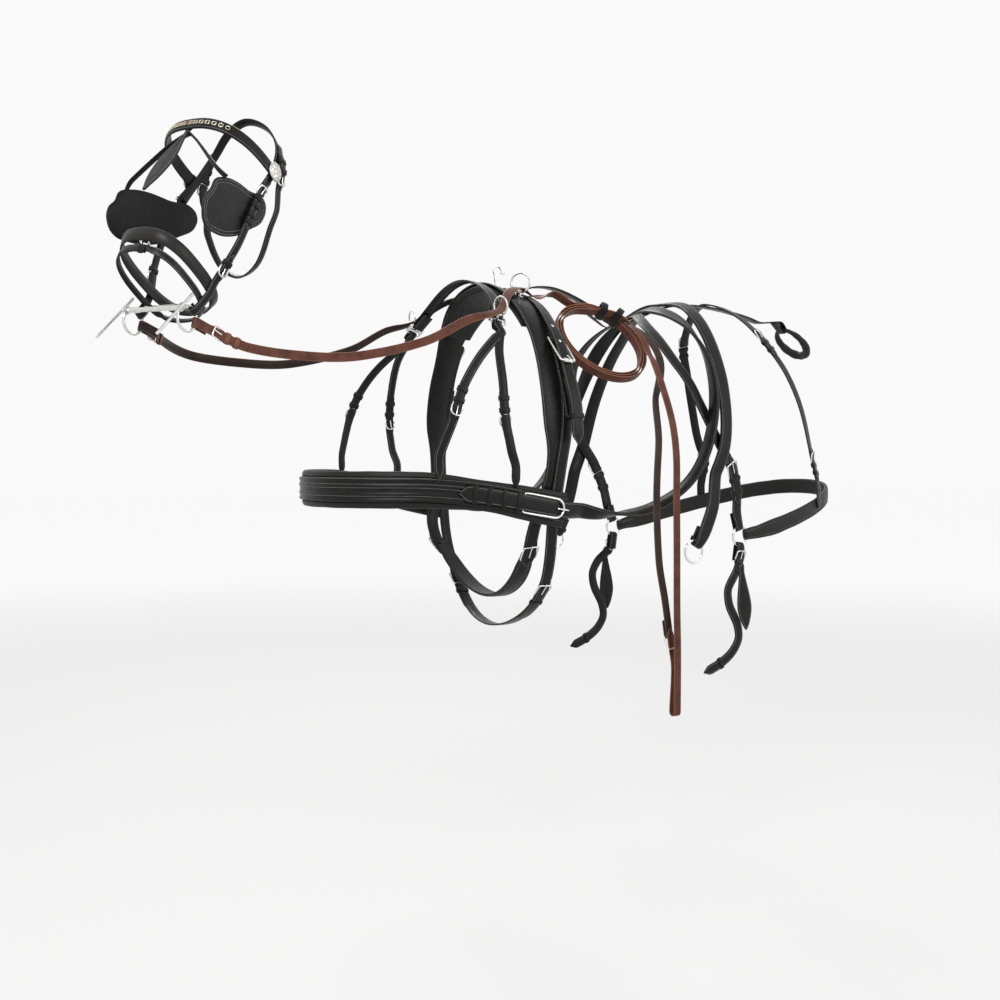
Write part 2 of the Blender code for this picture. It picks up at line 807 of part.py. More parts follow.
def make_tugs():
    strap("backband", band_route(), tug_width, black, point_end=True, point_start=True)
    for side, sign in sides:
        heel_at = band_middle + sign * heel_down
        point, tangent, _, out = frame_at(*band_line, heel_at)
        heel = point - out * (fold_radius + leather + 4 * fit)
        point, _, _, far_out = frame_at(*band_line, heel_at + sign * tug_buckle_length)
        far = point + far_out * (leather + roller_wall + fold_radius + lay_gap)
        matrix = frame_matrix(heel, far, out)
        length = (far - heel).length
        frame_points = squared_frame(length, tug_width + wire, wire)
        wire_shape("tug_buckle_" + side, frame_points, wire, steel, matrix, closed=True)
        make_roller("tug_roller_" + side, matrix @ Vector((length, 0, 0)), matrix, tug_width - wire)
        start = tongue_start(band_line, heel_at + sign * tug_buckle_length * 0.82, matrix)
        make_tongue("tug_tongue_" + side, matrix, length, roller_wall, start)
        make_shaft_tug("shaft_tug_" + side, sign, heel, tangent * sign, out)


def make_roller(name, middle, frame_matrix, width):
    """A tube that turns on the far bar of a buckle."""
    inner = wire / 2 + fit
    outer = inner + roller_wall
    half = width / 2
    across = frame_matrix.to_3x3() @ Vector((0, 1, 0))
    along = frame_matrix.to_3x3() @ Vector((1, 0, 0))
    turned(name, ((inner, half), (outer, half), (outer, -half), (inner, -half), (inner, half)),
           steel, axes_matrix(middle, along, across))


def tongue_start(line, distance, matrix):
    """Where a tongue stands out of its strap, in the buckle's own plane."""
    point, _, _, out = frame_at(*line, distance)
    return matrix.inverted() @ (point + out * (leather + fit + fine_wire / 2))


def make_tongue(name, matrix, length, cover, start):
    """A buckle's tongue where it stands out of the laid strap and rests on the far bar."""
    rest = wire / 2 + 2 * fit + cover + fine_wire / 2
    points = [(start.x, 0, start.z), (start.x + wire * 0.6, 0, (start.z + rest) / 2), (length - wire / 2, 0, rest),
              (length + wire, 0, rest, 0.9), (length + wire * 2.2, 0, rest - wire * 0.6, 0.7)]
    wire_shape(name, points, fine_wire, steel, matrix)


def make_shaft_tug(name, sign, heel, tangent, out):
    """The tug: folded over the buckle's heel bar, led down, and turned up into a loop for the shaft."""
    places = [(heel + out * fold_radius + tangent * wire * 2.5, out), (heel + out * fold_radius, out)]
    for k in range(1, fold_turns):
        angle = math.pi * k / fold_turns
        way = out * math.cos(angle) - tangent * math.sin(angle)
        places.append((heel + way * fold_radius, way))
    places.append((heel - out * fold_radius, -out))
    inner = band_lift + 2 * leather + lay_gap

    def at(down, lift):
        return upon(saddle_line, saddle_middle + sign * down, beside(band_rows, down, 1), lift)

    for down, share in ((0.1, -0.1), (0.26, 0), (0.5, 0), (0.78, 0), (0.96, 0)):
        point, way = at(heel_down + (tug_bottom - heel_down) * down, inner + share * loop_gap)
        places.append((point, -way))
    bottom, way = at(tug_bottom, inner)
    down_way = (bottom - places[-1][0]).normalized()
    turn_radius = loop_gap / 2
    middle = bottom + way * turn_radius
    places.append((bottom, -way))
    for k in range(1, 6):
        angle = math.pi * k / 6
        around = -way * math.cos(angle) + down_way * math.sin(angle)
        places.append((middle + around * turn_radius, around))
    for down, share in ((0.97, 1.0), (0.78, 0.93), (0.58, 0.66)):
        places.append(at(heel_down + (tug_bottom - heel_down) * down, inner + loop_gap * share))
    strap(name, places, tug_width - 2 * fit, black)


# The bands under the horse: a padded girth between the skirts, and a belly band between the tugs.
# Rows are station, girth and lift in leathers; those of the belly band's top are down, aside and lift.
girth_rows = ((0.311, 0.765, 5.05), (0.318, 0.81, 5.6), (0.324, 0.87, 7.2), (0.328, 0.94, 9.0), (0.330, 1.0, 9.6))
belly_top_rows = ((375, 1.13), (415, 1.1), (460, 1.0), (505, 0.85), (548, 0.66))
belly_rows = ((0.3395, 0.61, 2.0), (0.339, 0.64, 2.6), (0.338, 0.685, 5.4), (0.341, 0.74, 11.5), (0.345, 0.80, 18), (0.343, 0.87, 24),
              (0.336, 0.94, 27.5), (0.333, 1.0, 28.5))


def belly_side(sign):
    places = [upon(saddle_line, saddle_middle + sign * down * mm, aside * tug_width, band_lift)
              for down, aside in belly_top_rows]
    return places + body_route(belly_rows, sign, 0, long_step)


def make_bands():
    left = body_route(girth_rows, 1, 0, long_step)
    right = body_route(girth_rows, -1, 0, long_step)
    strap("girth", left + list(reversed(right))[1:], girth_width, padded, thick=2 * leather, step=long_step,
          section=pad_section, swell=lambda s: 0.55 + 0.45 * (1 - abs(2 * s - 1) ** 6))
    strap("belly_band", belly_side(1) + list(reversed(belly_side(-1)))[1:], back_strap_width, black,
          step=long_step)


# The breast collar: a padded body, a raised layer sewn on it and the trace buckled at each end.
heel_share = 0.919
layer_end_share = 0.906
collar_ends = (1.0, 1.45, 1.93)
layer_lift = breast_thick + lay_gap
trace_seat = layer_lift + layer_thick + fit


def collar_swell(share):
    """The collar is waisted between its front and its buckles."""
    away = abs(2 * share - 1)
    waist = 1 - breast_waist / breast_width
    return 1 - waist * math.exp(-(((away - 0.66) / 0.16) ** 2))


def make_collar():
    ends = list(collar_ends)
    shares = [-s for s in reversed(ends)] + both_ways(1.0, 28)[1:-1] + ends
    strap("breast_pad", laid_round(round_front, shares, 0), breast_width, padded, thick=breast_thick,
          section=pad_section, step=breast_reach, swell=collar_swell)
    strap("breast_layer", laid_round(round_front, both_ways(layer_end_share, 26), layer_lift), layer_width,
          black, thick=layer_thick, section=ridge_section, step=breast_reach)


# The traces: each is buckled to the collar, runs back low on its side standing on its edge, turns up,
# goes over the back and hangs down the other side with a ring on its end. They cross beyond the spine.
# Rows are station, girth, lift in leathers and turn.
trace_low_rows = (
    (0.388, 0.650, 3.6, 0.0), (0.420, 0.650, 3.0, 0.3), (0.462, 0.640, 2.0, 0.8), (0.515, 0.622, 1.5, 1.0),
    (0.566, 0.578, 1.6, 1.0), (0.602, 0.520, 2.0, 1.0), (0.628, 0.445, 2.5, 1.0), (0.646, 0.372, 2.5, 0.95),
    (0.656, 0.300, 2.3, 0.8),
)
trace_top_rows = {
    "left": (
        (0.660, 0.225, 2.2, 0.5), (0.663, 0.14, 2.0, 0.15), (0.664, 0.05, 1.9, 0.0), (0.668, 0.0, 1.75, 0.0),
        (0.677, -0.06, 1.75, 0.0), (0.691, -0.12, 1.75, 0.0), (0.701, -0.19, 2.1, 0.0),
        (0.696, -0.27, 2.6, 0.0), (0.685, -0.364, 2.9, 0.0), (0.669, -0.473, 2.9, 0.0), (0.648, -0.54, 2.9, 0.0),
    ),
    "right": (
        (0.664, 0.25, 3.3, 0.5), (0.676, 0.19, 4.4, 0.2), (0.690, 0.12, 4.5, 0.0), (0.703, 0.07, 4.2, 0.0),
        (0.709, 0.03, 2.4, 0.0), (0.711, 0.0, 1.75, 0.0), (0.711, -0.04, 1.8, 0.0), (0.708, -0.09, 2.2, 0.0),
        (0.701, -0.135, 2.6, 0.0), (0.689, -0.262, 2.6, 0.0), (0.681, -0.364, 2.9, 0.0),
        (0.669, -0.473, 2.9, 0.0), (0.648, -0.54, 2.9, 0.0),
    ),
}
trace_end_rows = ((0.3053, 1.119, -0.739), (0.2893, 1.125, -0.820), (0.2763, 1.125, -0.871))
trace_doubled_share = 0.13
trace_fold_width = 26 * mm
ring_room = 0.8 * mm


def trace_route(side, sign):
    places = laid_round(round_front, [sign * s for s in (0.70, 0.76, 0.82, 0.88)], trace_seat)
    places += laid_round(round_front, [sign * s for s in (0.90, 0.94)], trace_seat + fit)
    for share, drop in ((1.0, 0.35), (1.5, 0.75), (1.9, 0.9)):
        places.append(round_front(sign * share, trace_seat - drop * layer_thick))
    places += body_route(trace_low_rows + trace_top_rows[side], sign, trace_width / 2)
    for along, across, height in trace_end_rows:
        places.append(in_space(along, -sign * across, height, (-sign, 0, 0)))
    return places


def make_trace(side, sign):
    places = trace_route(side, sign)
    radius, inset = ring_seat(ring_radius, trace_fold_width, wire + ring_room)
    strap("trace_" + side, places, trace_width, black, point_start=True, fold=radius, narrow=trace_fold_width,
          rise=lambda s: 1 + 1 / (1 + math.exp((trace_doubled_share - s) / 0.008)))
    middle, tangent, out = fold_middle(places, radius)
    ring("trace_ring_" + side, middle + tangent * inset, out, ring_radius, wire, steel, tangent)
    make_trace_buckle(side, smooth_line(places)[:2], round_front(sign * heel_share, trace_seat)[0])


def make_trace_buckle(side, line, heel_spot):
    heel_at = min(line[1], key=lambda run: (frame_at(*line, run)[0] - heel_spot).length)
    point, _, _, out = frame_at(*line, heel_at)
    heel = point - out * (wire / 2 + fit)
    point, _, _, far_out = frame_at(*line, heel_at + trace_buckle_length)
    far = point + far_out * (leather + wire + lay_gap)
    matrix = frame_matrix(heel, far, out)
    length = (far - heel).length
    points = rounded_frame(length, trace_width + 4 * fit, wire)
    wire_shape("trace_buckle_" + side, points, wire, steel, matrix, closed=True)
    start = tongue_start(line, heel_at + trace_buckle_length * 0.84, matrix)
    make_tongue("trace_tongue_" + side, matrix, length, 0, start)


# The neck strap over the withers, a ring each side for the reins, and the forked straps to the collar.
neck_rows = ((0.273, 0.0, 3.2), (0.273, 0.10, 3.2), (0.271, 0.163, 3.2), (0.265, 0.210, 3.2), (0.259, 0.235, 3.2))
neck_post = 14 * mm
neck_turn = math.radians(13)
fork_front_rows = ((0.255, 0.285, 3.3), (0.232, 0.315, 3.3), (0.200, 0.365, 3.2), (0.170, 0.43, 3.2),
                   (0.153, 0.494, 4.2))
fork_rear_rows = ((0.252, 0.285, 3.2), (0.241, 0.335, 3.4), (0.238, 0.398, 3.8), (0.238, 0.480, 4.2),
                  (0.247, 0.54, 5.4))
fork_front_share = 0.63
fork_rear_share = 0.895
fork_hang = (78 * mm, 52 * mm, 30 * mm)


def neck_places(sign=1):
    return both_sides(body_route(neck_rows, sign), body_route(neck_rows, -sign))


def make_neck_strap():
    strap("neck_strap", neck_places(), back_strap_width, black, fold=fold_radius, fold_start=fold_radius)
    for side, sign in sides:
        bar, down, out = fold_middle(neck_places(sign), fold_radius)
        matrix = axes_matrix(bar, down, out)
        frame_points = squared_frame(clip_length, back_strap_width + wire, wire)
        frame = wire_shape("neck_terret_" + side, frame_points, wire, steel, matrix, closed=True)
        half = (back_strap_width + 2 * wire) / 2
        cross_bar = wire_shape("neck_cross_bar", [(clip_length / 2, -half, 0), (clip_length / 2, half, 0)],
                               wire * 0.9, steel, matrix)
        middle, lean = neck_ring_place(sign)
        foot = matrix @ Vector((clip_length / 2, 0, 0))
        post = wire_shape("neck_post", [(0, 0, -wire / 6), (0, 0, neck_post)], wire * 1.15, steel,
                          axes_matrix(foot, down, lean))
        hoop = ring("neck_hoop", middle, turned_facing(neck_turn * sign, lean), neck_ring_radius, fine_wire, steel, lean)
        shaped(frame, [cross_bar, post, hoop], "UNION")
        far_bar = matrix @ Vector((clip_length, 0, 0))
        make_fork("neck_fork_" + side, sign, far_bar, down, out)


def neck_ring_place(sign):
    """The middle of a neck terret's ring and the way it leans."""
    bar, down, out = fold_middle(neck_places(sign), fold_radius)
    lean = (out * 0.8 + up * 0.6).normalized()
    return bar + down * clip_length / 2 + lean * (neck_post + neck_ring_radius - fine_wire / 4), lean


def make_fork(name, sign, bar, down, out):
    """One strap folded over the bar: its front branch lies outside and its rear branch comes from behind."""
    pad_top = breast_thick * 0.94
    front = [(round_front(sign * fork_front_share, pad_top)[0] + up * h, round_front(sign * fork_front_share)[1])
             for h in reversed(fork_hang)]
    front += list(reversed(body_route(fork_front_rows, sign)))
    near = (wire * 2.4, 0)
    front += [(bar + down * away + out * fold_radius, out) for away in near]
    for k in range(1, fold_turns):
        angle = math.pi * k / fold_turns
        way = out * math.cos(angle) - down * math.sin(angle)
        front.append((bar + way * fold_radius, way))
    rear = [(bar + down * away - out * fold_radius, -out) for away in reversed(near)]
    rear += [(point + way * leather, -way) for point, way in body_route(fork_rear_rows, sign)]
    point, way = round_front(sign * fork_rear_share, pad_top + leather)
    rear += [(point + up * h, -way) for h in fork_hang]
    strap(name, front + rear, fork_width, black, point_start=True, point_end=True)


# Behind the saddle: a strap along the spine to the crupper, and the straps that carry the breeching.
# Rows in space are along, across and up; those on the skin are station, girth and lift in leathers.
back_free_rows = ((0.073, 0, 0.041), (0.119, 0, 0.044), (0.173, 0, 0.009), (0.213, 0, -0.030), (0.245, 0, -0.066))
back_skin_rows = ((0.600, 0, 0.5), (0.70, 0, 0.5), (0.80, 0, 0.5), (0.90, 0, 0.5), (0.93, 0, 0.8))
dock_middle = (0.687, 0, -0.098)
dock_along = 45 * mm
dock_across = 34 * mm
dock_slim = 9 * mm
dock_full = 24 * mm
loin_rows = ((0.637, 0.0, 2.2), (0.620, 0.06, 1.4), (0.607, 0.129, 1.0), (0.603, 0.245, 1.0),
             (0.617, 0.328, 1.0), (0.630, 0.392, 1.0), (0.658, 0.467, 1.0), (0.690, 0.52, 1.0), (0.708, 0.57, 1.3))
hip_rows = ((0.80, 0.0, 2.35), (0.806, 0.06, 1.5), (0.825, 0.144, 1.0), (0.842, 0.215, 1.0), (0.872, 0.29, 1.0),
            (0.896, 0.367, 1.0), (0.914, 0.443, 1.2), (0.927, 0.49, 1.8))
hip_share = 0.611
hip_hang = (50 * mm, 24 * mm, -4 * mm)
ring_strap_width = 22 * mm
seat_fold_width = 26 * mm
hold_rows = ((0.368, 1.055, -0.995), (0.352, 1.055, -1.050), (0.357, 1.05, -1.114), (0.3725, 1.05, -1.172),
             (0.3775, 1.05, -1.232), (0.360, 1.05, -1.286), (0.328, 1.05, -1.325), (0.300, 1.05, -1.345))


def make_back_strap():
    over_band = band_lift + leather + lay_gap
    places = [upon(saddle_line, saddle_middle, aside, over_band)
              for aside in (0.55 * tug_width, 1.15 * tug_width, 1.75 * tug_width)]
    places = [(point, Vector((0, out.y, out.z)).normalized()) for point, out in places]
    places += [in_space(*row, (0, 0.15, 1)) for row in back_free_rows]
    places += body_route(back_skin_rows, 1, 0, long_step)
    dock = dock_route()
    front = min(dock, key=lambda place: place[0].y)
    away = front[1]
    lifted = Vector((0, away.z, -away.y))
    bend = dock_across**2 / dock_along + dock_slim / 2
    radius, inset = ring_seat(bend, ring_strap_width, dock_slim)
    held = front[0] + away * (dock_slim / 2 + inset - bend) + lifted * radius
    places += [(held + away * ring_strap_width, lifted), (held, lifted)]
    strap("back_strap", places, back_strap_width, black, step=long_step, fold=radius, narrow=ring_strap_width)
    strap("crupper_dock", dock, 1.0, padded, thick=1.0, section=roll_section, closed=True,
          swell=dock_swell, rise=dock_swell)


def dock_route():
    """The inner line of the crupper's loop, round the root of the tail."""
    middle = in_space(*dock_middle, (0, 0, 1))[0]
    along = Vector((0, 0.75, -0.66)).normalized()
    places = []
    for k in range(20):
        angle = 2 * math.pi * k / 20
        way = along * math.cos(angle) * dock_across + Vector((1, 0, 0)) * math.sin(angle) * dock_along
        point = middle + along * math.cos(angle) * dock_along + Vector((1, 0, 0)) * math.sin(angle) * dock_across
        places.append((point, way.normalized()))
    return places


def dock_swell(share):
    """Thin where the strap holds it and full under the tail."""
    return dock_slim + (dock_full - dock_slim) * (0.5 + 0.5 * math.cos(2 * math.pi * share)) ** 0.6


def make_breeching():
    shares = both_ways(1.0, 24)
    radius, inset = ring_seat(breeching_ring_radius, seat_fold_width)
    places = laid_round(round_rear, shares, 0)
    strap("breeching_seat", places, seat_width, padded, thick=seat_thick, section=pad_section,
          step=seat_reach, fold=radius, fold_start=radius, narrow=seat_fold_width,
          rise=lambda s: 0.4 + 0.6 / (1 + math.exp((abs(2 * s - 1) - 0.84) / 0.02)))
    rings = {}
    for side, sign in sides:
        middle, tangent, out = fold_middle(places if sign == 1 else list(reversed(places)), radius)
        rings[sign] = (middle + tangent * inset, out)
        ring("breeching_ring_" + side, *rings[sign], breeching_ring_radius, wire, steel, tangent)
    radius, inset = ring_seat(breeching_ring_radius, ring_strap_width)
    ways = {"loin": Vector((0, -0.3, 1)).normalized(), "hold": Vector((0, -0.15, -1)).normalized()}

    def at_ring(sign, way):
        middle, out = rings[sign]
        near = middle + way * inset + out * radius
        return [(near + way * fold_return, out), (near, out)]

    loin = both_sides(body_route(loin_rows, 1, 0, long_step) + at_ring(1, ways["loin"]),
                      body_route(loin_rows, -1, 0, long_step) + at_ring(-1, ways["loin"]))
    strap("loin_strap", loin, loin_width, black, step=long_step, fold=radius, fold_start=radius, narrow=ring_strap_width)
    for side, sign in sides:
        hold = list(reversed(at_ring(sign, ways["hold"])))
        hold += [in_space(along, across * sign, height, (sign, 0, 0)) for along, across, height in hold_rows]
        strap("holdback_" + side, hold, holdback_width, black, fold_start=radius, narrow=ring_strap_width,
              point_end=True)
    hips = []
    for sign in (1, -1):
        point, out = round_rear(sign * hip_share, seat_thick + lay_gap)
        hips.append(body_route(hip_rows, sign, 0, long_step) + [(point + up * h, out) for h in hip_hang])
    strap("hip_strap", both_sides(*hips), hip_width, black, step=long_step, point_end=True, point_start=True)


# The bridle, in the head's own directions. Rows are across, forward, depth and the way out.
crown_rows = ((0.0, -0.035, -0.045, (0, -0.1, -1)), (0.5, -0.06, -0.02, (0.45, -0.1, -0.9)),
              (0.82, -0.10, 0.05, (0.85, -0.05, -0.5)), (0.99, -0.112, 0.165, (1, 0, -0.1)),
              (1.006, -0.107, 0.207, (1, 0, 0)), (1.0, -0.10, 0.29, (1, 0, 0)))
cheek_rows = ((1.045, -0.103, 0.228), (1.045, -0.096, 0.275), (1.047, -0.100, 0.359), (1.055, -0.109, 0.452),
              (1.027, -0.120, 0.542), (0.945, -0.128, 0.618), (0.803, -0.141, 0.704), (0.772, -0.148, 0.745))
throat_rows = ((0.99, -0.130, 0.115, (1, -0.1, -0.2)), (1.01, -0.144, 0.140, (1, -0.1, -0.1)),
               (1.005, -0.153, 0.170, (1, -0.1, 0)), (0.985, -0.174, 0.212, (1, -0.2, 0)),
               (0.909, -0.222, 0.263, (1, -0.3, 0.1)), (0.83, -0.245, 0.325, (0.9, -0.4, 0.3)),
               (0.48, -0.325, 0.430, (0.5, -0.7, 0.6)), (0.0, -0.355, 0.465, (0, -0.85, 0.6)))
brow_depth = 0.19
brow_end = 0.548
brow_thick = 5 * mm
brow_lift = 14.3 * mm
chain_end = 0.23
nose_depths = (0.700, 0.733)
nose_strap_depths = (0.757, 0.797)
skin_lift = 5.2 * mm
nose_strap_width = 16 * mm
bit_eye_shares = (-0.0807, 0.8684)
bit_reaches = {"eye": (0, 0), "ring": (-25 * mm, 9 * mm), "bar_top": (-3 * mm, -37 * mm),
               "bar_low": (28 * mm, 95 * mm)}
ring_across = 0.70
cheek_way = (-0.21, -0.978)
rein_way = (-0.951, -0.307)


def brow_route(end, count, lift):
    return [on_head(brow_depth, turn, lift) for turn in both_ways(end, count)]


def in_bit(name):
    """How far forward and how deep a place of the bit is, in shares of the head's length."""
    return [share + reach / head_length for share, reach in zip(bit_eye_shares, bit_reaches[name])]


def bit_ring_place(sign):
    """The middle of a bit ring, and the way out of the head beside it."""
    return by_head(ring_across * sign, *in_bit("ring"), (sign, 0, 0))


def at_bit_ring(sign, way, width):
    """Where a strap's end is folded on a bit ring, and the fold's radius."""
    radius, inset = ring_seat(bit_ring_radius, width)
    middle, out = bit_ring_place(sign)
    toward = head_out * way[0] + head_down * way[1]
    near = middle + toward * inset + out * radius
    return [(near + toward * fold_return * 0.6, out), (near, out)], radius


def make_headstall():
    strap("crown_piece", both_sides(head_route(crown_rows), head_route(crown_rows, -1)), bridle_width, black)
    strap("browband", brow_route(brow_end, 18, brow_lift), brow_width, black, thick=brow_thick,
          section=brow_section)
    links = [(k + 0.5) / chain_links for k in range(chain_links)]
    strap("browband_chain", brow_route(chain_end, 10, brow_lift + brow_thick + lay_gap / 2),
          chain_width / 2, gold, thick=chain_thick / 2, keepers=links,
          keeper_size=(chain_width * 0.8, chain_thick / 2))
    throat = []
    for sign in (1, -1):
        across, forward, depth, out = crown_rows[2]
        point, way = by_head(across * sign, forward, depth, (out[0] * sign, out[1], out[2]))
        throat.append([(point + way * (leather + lay_gap), way)] + head_route(throat_rows, sign))
    strap("throatlatch", throat[0] + list(reversed(throat[1]))[1:], bridle_width, black)
    brow_line = smooth_line(brow_route(brow_end, 18, brow_lift))[:2]
    for side, sign in sides:
        cheek = head_route([(*row, (1, 0, 0)) for row in cheek_rows], sign)
        end, radius = at_bit_ring(sign, cheek_way, bridle_width)
        strap("cheekpiece_" + side, cheek + end, bridle_width, black, fold=radius, back=bridle_return)
        middle = brow_line[1][-1] / 2
        point, _, _, out = frame_at(*brow_line, middle + sign * (middle - rosette_radius * 0.75))
        base = point + out * (brow_thick + lay_gap / 2)
        profile = [(0, rosette_thick), (rosette_radius * 0.30, rosette_thick * 0.95),
                   (rosette_radius * 0.36, rosette_thick * 0.62), (rosette_radius * 0.66, rosette_thick * 0.58),
                   (rosette_radius * 0.80, rosette_thick * 0.80), (rosette_radius, rosette_thick * 0.35),
                   (rosette_radius, 0), (0, 0)]
        turned("rosette_" + side, profile, silver, axes_matrix(base, head_down, out), steps=24)


def nose_loop(depths):
    """A closed route round the nose, its front and its back at two depths."""
    places = []
    for k in range(26):
        turn = 2 * k / 26
        share = 0.5 - 0.5 * math.cos(math.pi * turn)
        depth = depths[0] + (depths[1] - depths[0]) * share
        places.append(on_head(depth, turn, skin_lift))
    return places


def make_nosebands():
    strap("noseband", nose_loop(nose_depths), nose_width, black, closed=True)
    strap("nose_strap", nose_loop(nose_strap_depths), nose_strap_width, black, closed=True)


# The blinkers, the rolled stay between them and the drop on the face.
blinker_table_shares = ((0.99, 0.20), (1.0, 0.03), (0.88, -0.13), (0.64, -0.31), (0.24, -0.49), (-0.18, -0.68),
                        (-0.34, -0.52), (-0.16, -0.05), (0.09, 0.31), (0.49, 0.61), (0.74, 0.68), (0.94, 0.56),
                        (1.02, 0.37))
blinker_flare = math.radians(12)
blinker_root = (0.988, -0.1053, 0.4561)
stay_rows = ((0.0, 0.152, 0.2225, (0, 1, 0)), (0.20, 0.152, 0.246, (0.1, 1, 0)), (0.42, 0.149, 0.283, (0.3, 1, 0)),
             (0.66, 0.141, 0.327, (0.6, 0.8, 0)), (0.90, 0.132, 0.371, (0.75, 0.7, 0)),
             (1.135, 0.120, 0.410, (0.9, 0.45, 0)), (1.282, 0.103, 0.430, (1, -0.2, 0)))
drop_table_shares = ((0.12, 0.0), (0.12, 0.13), (0.22, 0.25), (0.42, 0.42), (0.5, 0.58), (0.42, 0.76), (0.18, 0.93),
                     (0, 1.0))
drop_top = (0.1670, 0.190)
drop_lean = math.radians(6)


def make_blinkers():
    for side, sign in sides:
        root, _ = by_head(blinker_root[0] * sign, *blinker_root[1:], (sign, 0, 0))
        outward = head_across * sign
        forward = head_out * math.cos(blinker_flare) + outward * math.sin(blinker_flare)
        normal = outward * math.cos(blinker_flare) - head_out * math.sin(blinker_flare)
        points = [(x * blinker_height, y * blinker_height * sign) for x, y in blinker_table_shares]
        outline_shape("blinker_" + side, points, blinker_thick, black, axes_matrix(root, forward, normal), 4)
    strap("blinker_stay", both_sides(head_route(stay_rows), head_route(stay_rows, -1)), stay_thick, black,
          thick=stay_thick, section=roll_section)
    top = by_head(0, *drop_top, (0, 1, 0))[0]
    down = head_down * math.cos(drop_lean) + head_out * math.sin(drop_lean)
    right = [(x * drop_width, y * drop_length) for x, y in drop_table_shares]
    left = [(-x, y) for x, y in reversed(right[:-1])]
    outline_shape("face_drop", right + left, drop_thick, black,
                  axes_matrix(top, head_across, head_across.cross(down)), 3)


# The bit: a straight mouthpiece with an eye and a fixed cheek bar at each end, and loose rings in the eyes.
eye_radius = 8.5 * mm
eye_hole = wire / 2 + 4 * fit
eye_length = 13 * mm
cheek_bar_thick = 7 * mm
cheek_bar_across = 0.775


def by_bit(across, name):
    """A place of the bit, beside the head's middle plane by a share of its half width."""
    return by_head(across, *in_bit(name), (1, 0, 0))[0]


def make_bit():
    ends = [by_bit(ring_across * s, "eye") for s in (-1, 1)]
    base = wire_shape("bit_mouthpiece", [(0, 0, -bit_half), (0, 0, bit_half)], bit_thick, steel,
                      axes_matrix((ends[0] + ends[1]) / 2, head_down, head_across))
    adds = []
    holes = []
    for sign, eye in zip((-1, 1), ends):
        ring_middle = by_bit(ring_across * sign, "ring")
        along = (eye - ring_middle).cross(head_across).normalized()
        matrix = axes_matrix(eye, head_across, along)
        adds.append(wire_shape("eye", [(0, 0, -eye_length / 2), (0, 0, eye_length / 2)], 2 * eye_radius,
                               steel, matrix))
        holes.append(turned("eye_hole", ((0, eye_length), (eye_hole, eye_length), (eye_hole, -eye_length),
                                         (0, -eye_length)), steel, matrix, steps=12))
        top = by_bit(cheek_bar_across * sign, "bar_top")
        low = by_bit(cheek_bar_across * sign, "bar_low")
        adds.append(wire_shape("cheek_bar", [(0, 0, 0), (0, 0, (low - top).length)], cheek_bar_thick, steel,
                               axes_matrix(top, head_across, low - top)))
    joined = shaped(base, adds, "UNION")
    shaped(joined, holes, "DIFFERENCE")
    for side, sign in sides:
        middle = by_bit(ring_across * sign, "ring")
        ring("bit_ring_" + side, middle, head_across * sign, bit_ring_radius, wire, steel, head_down)


# The reins. The left one is wound into a coil beside the saddle and hangs in a long loop with the right
# one buckled into it. Rows in space are along, across and up, then the way out.
rein_neck_rows = ((-0.4867, 0.597, -0.230, (0.9, 0.3, 0.1)), (-0.3837, 0.608, -0.251, (0.95, 0, 0.2)),
                  (-0.3104, 0.642, -0.244, (0.95, 0, 0.25)), (-0.2029, 0.694, -0.189, (0.9, -0.1, 0.4)),
                  (-0.1304, 0.735, -0.113, (0.8, -0.1, 0.5)))
rein_over = 62 * mm
rein_clear = 7 * mm
front_spread_share = 1.42
rear_spread_share = 0.88
rein_to_coil = (0.088, 0.265, 0.013, (-0.6, 0, 0.8))
coil_middle = (0.146, 0.5597, -0.159)
coil_axis = Vector((0.75, 0, 0.66)).normalized()
coil_along = 125 * mm
coil_up = 130 * mm
coil_pitch = 7 * mm
coil_start = 100
coil_turn = 1096
coil_step = 20
coil_over = 24 * mm
coil_flat = 13.5 * mm


def on_coil(angle, inward=0.0, raised=0.0, flat=0.0):
    """A place on the coil's oval: inward of it, raised along its axis and turned from edge to flat."""
    middle = in_space(*coil_middle, (1, 0, 0))[0]
    along = Vector((0, 1, 0))
    slope = Vector((-coil_axis.z, 0, coil_axis.x))
    turn = math.radians(angle)
    a = coil_along - inward
    b = coil_up - inward
    way = (along * math.cos(turn) * b + slope * math.sin(turn) * a).normalized()
    point = middle + along * math.cos(turn) * a + slope * math.sin(turn) * b + coil_axis * raised
    return point, (way * (1 - flat) + coil_axis * flat).normalized()


def through_ring(middle, way, radius, thickness, turn):
    """Where a rein lies on the lowest part of a ring's wire, for a ring turned from square across the rein."""
    half = rein_width / 2 / math.cos(turn)
    return middle - way * (math.sqrt((radius - thickness / 2) ** 2 - half**2) - 2 * lay_gap - cross_gap / 2), way


def by_terret(side, sign):
    """A rein's places from the neck ring through the terret, clear of the saddle top's edges."""
    _, _, way, middle = terret_place(sign)

    def over_edge(aside, spread):
        return upon(saddle_line, saddle_middle + terret_spread * spread * sign, aside, saddle_thick + rein_clear)

    return [
        through_ring(*neck_ring_place(sign), neck_ring_radius, fine_wire, neck_turn),
        over_edge(-rein_over, front_spread_share),
        through_ring(middle, way, terret_radius, wire, terret_turns[side]),
        over_edge(rein_over, rear_spread_share),
    ]


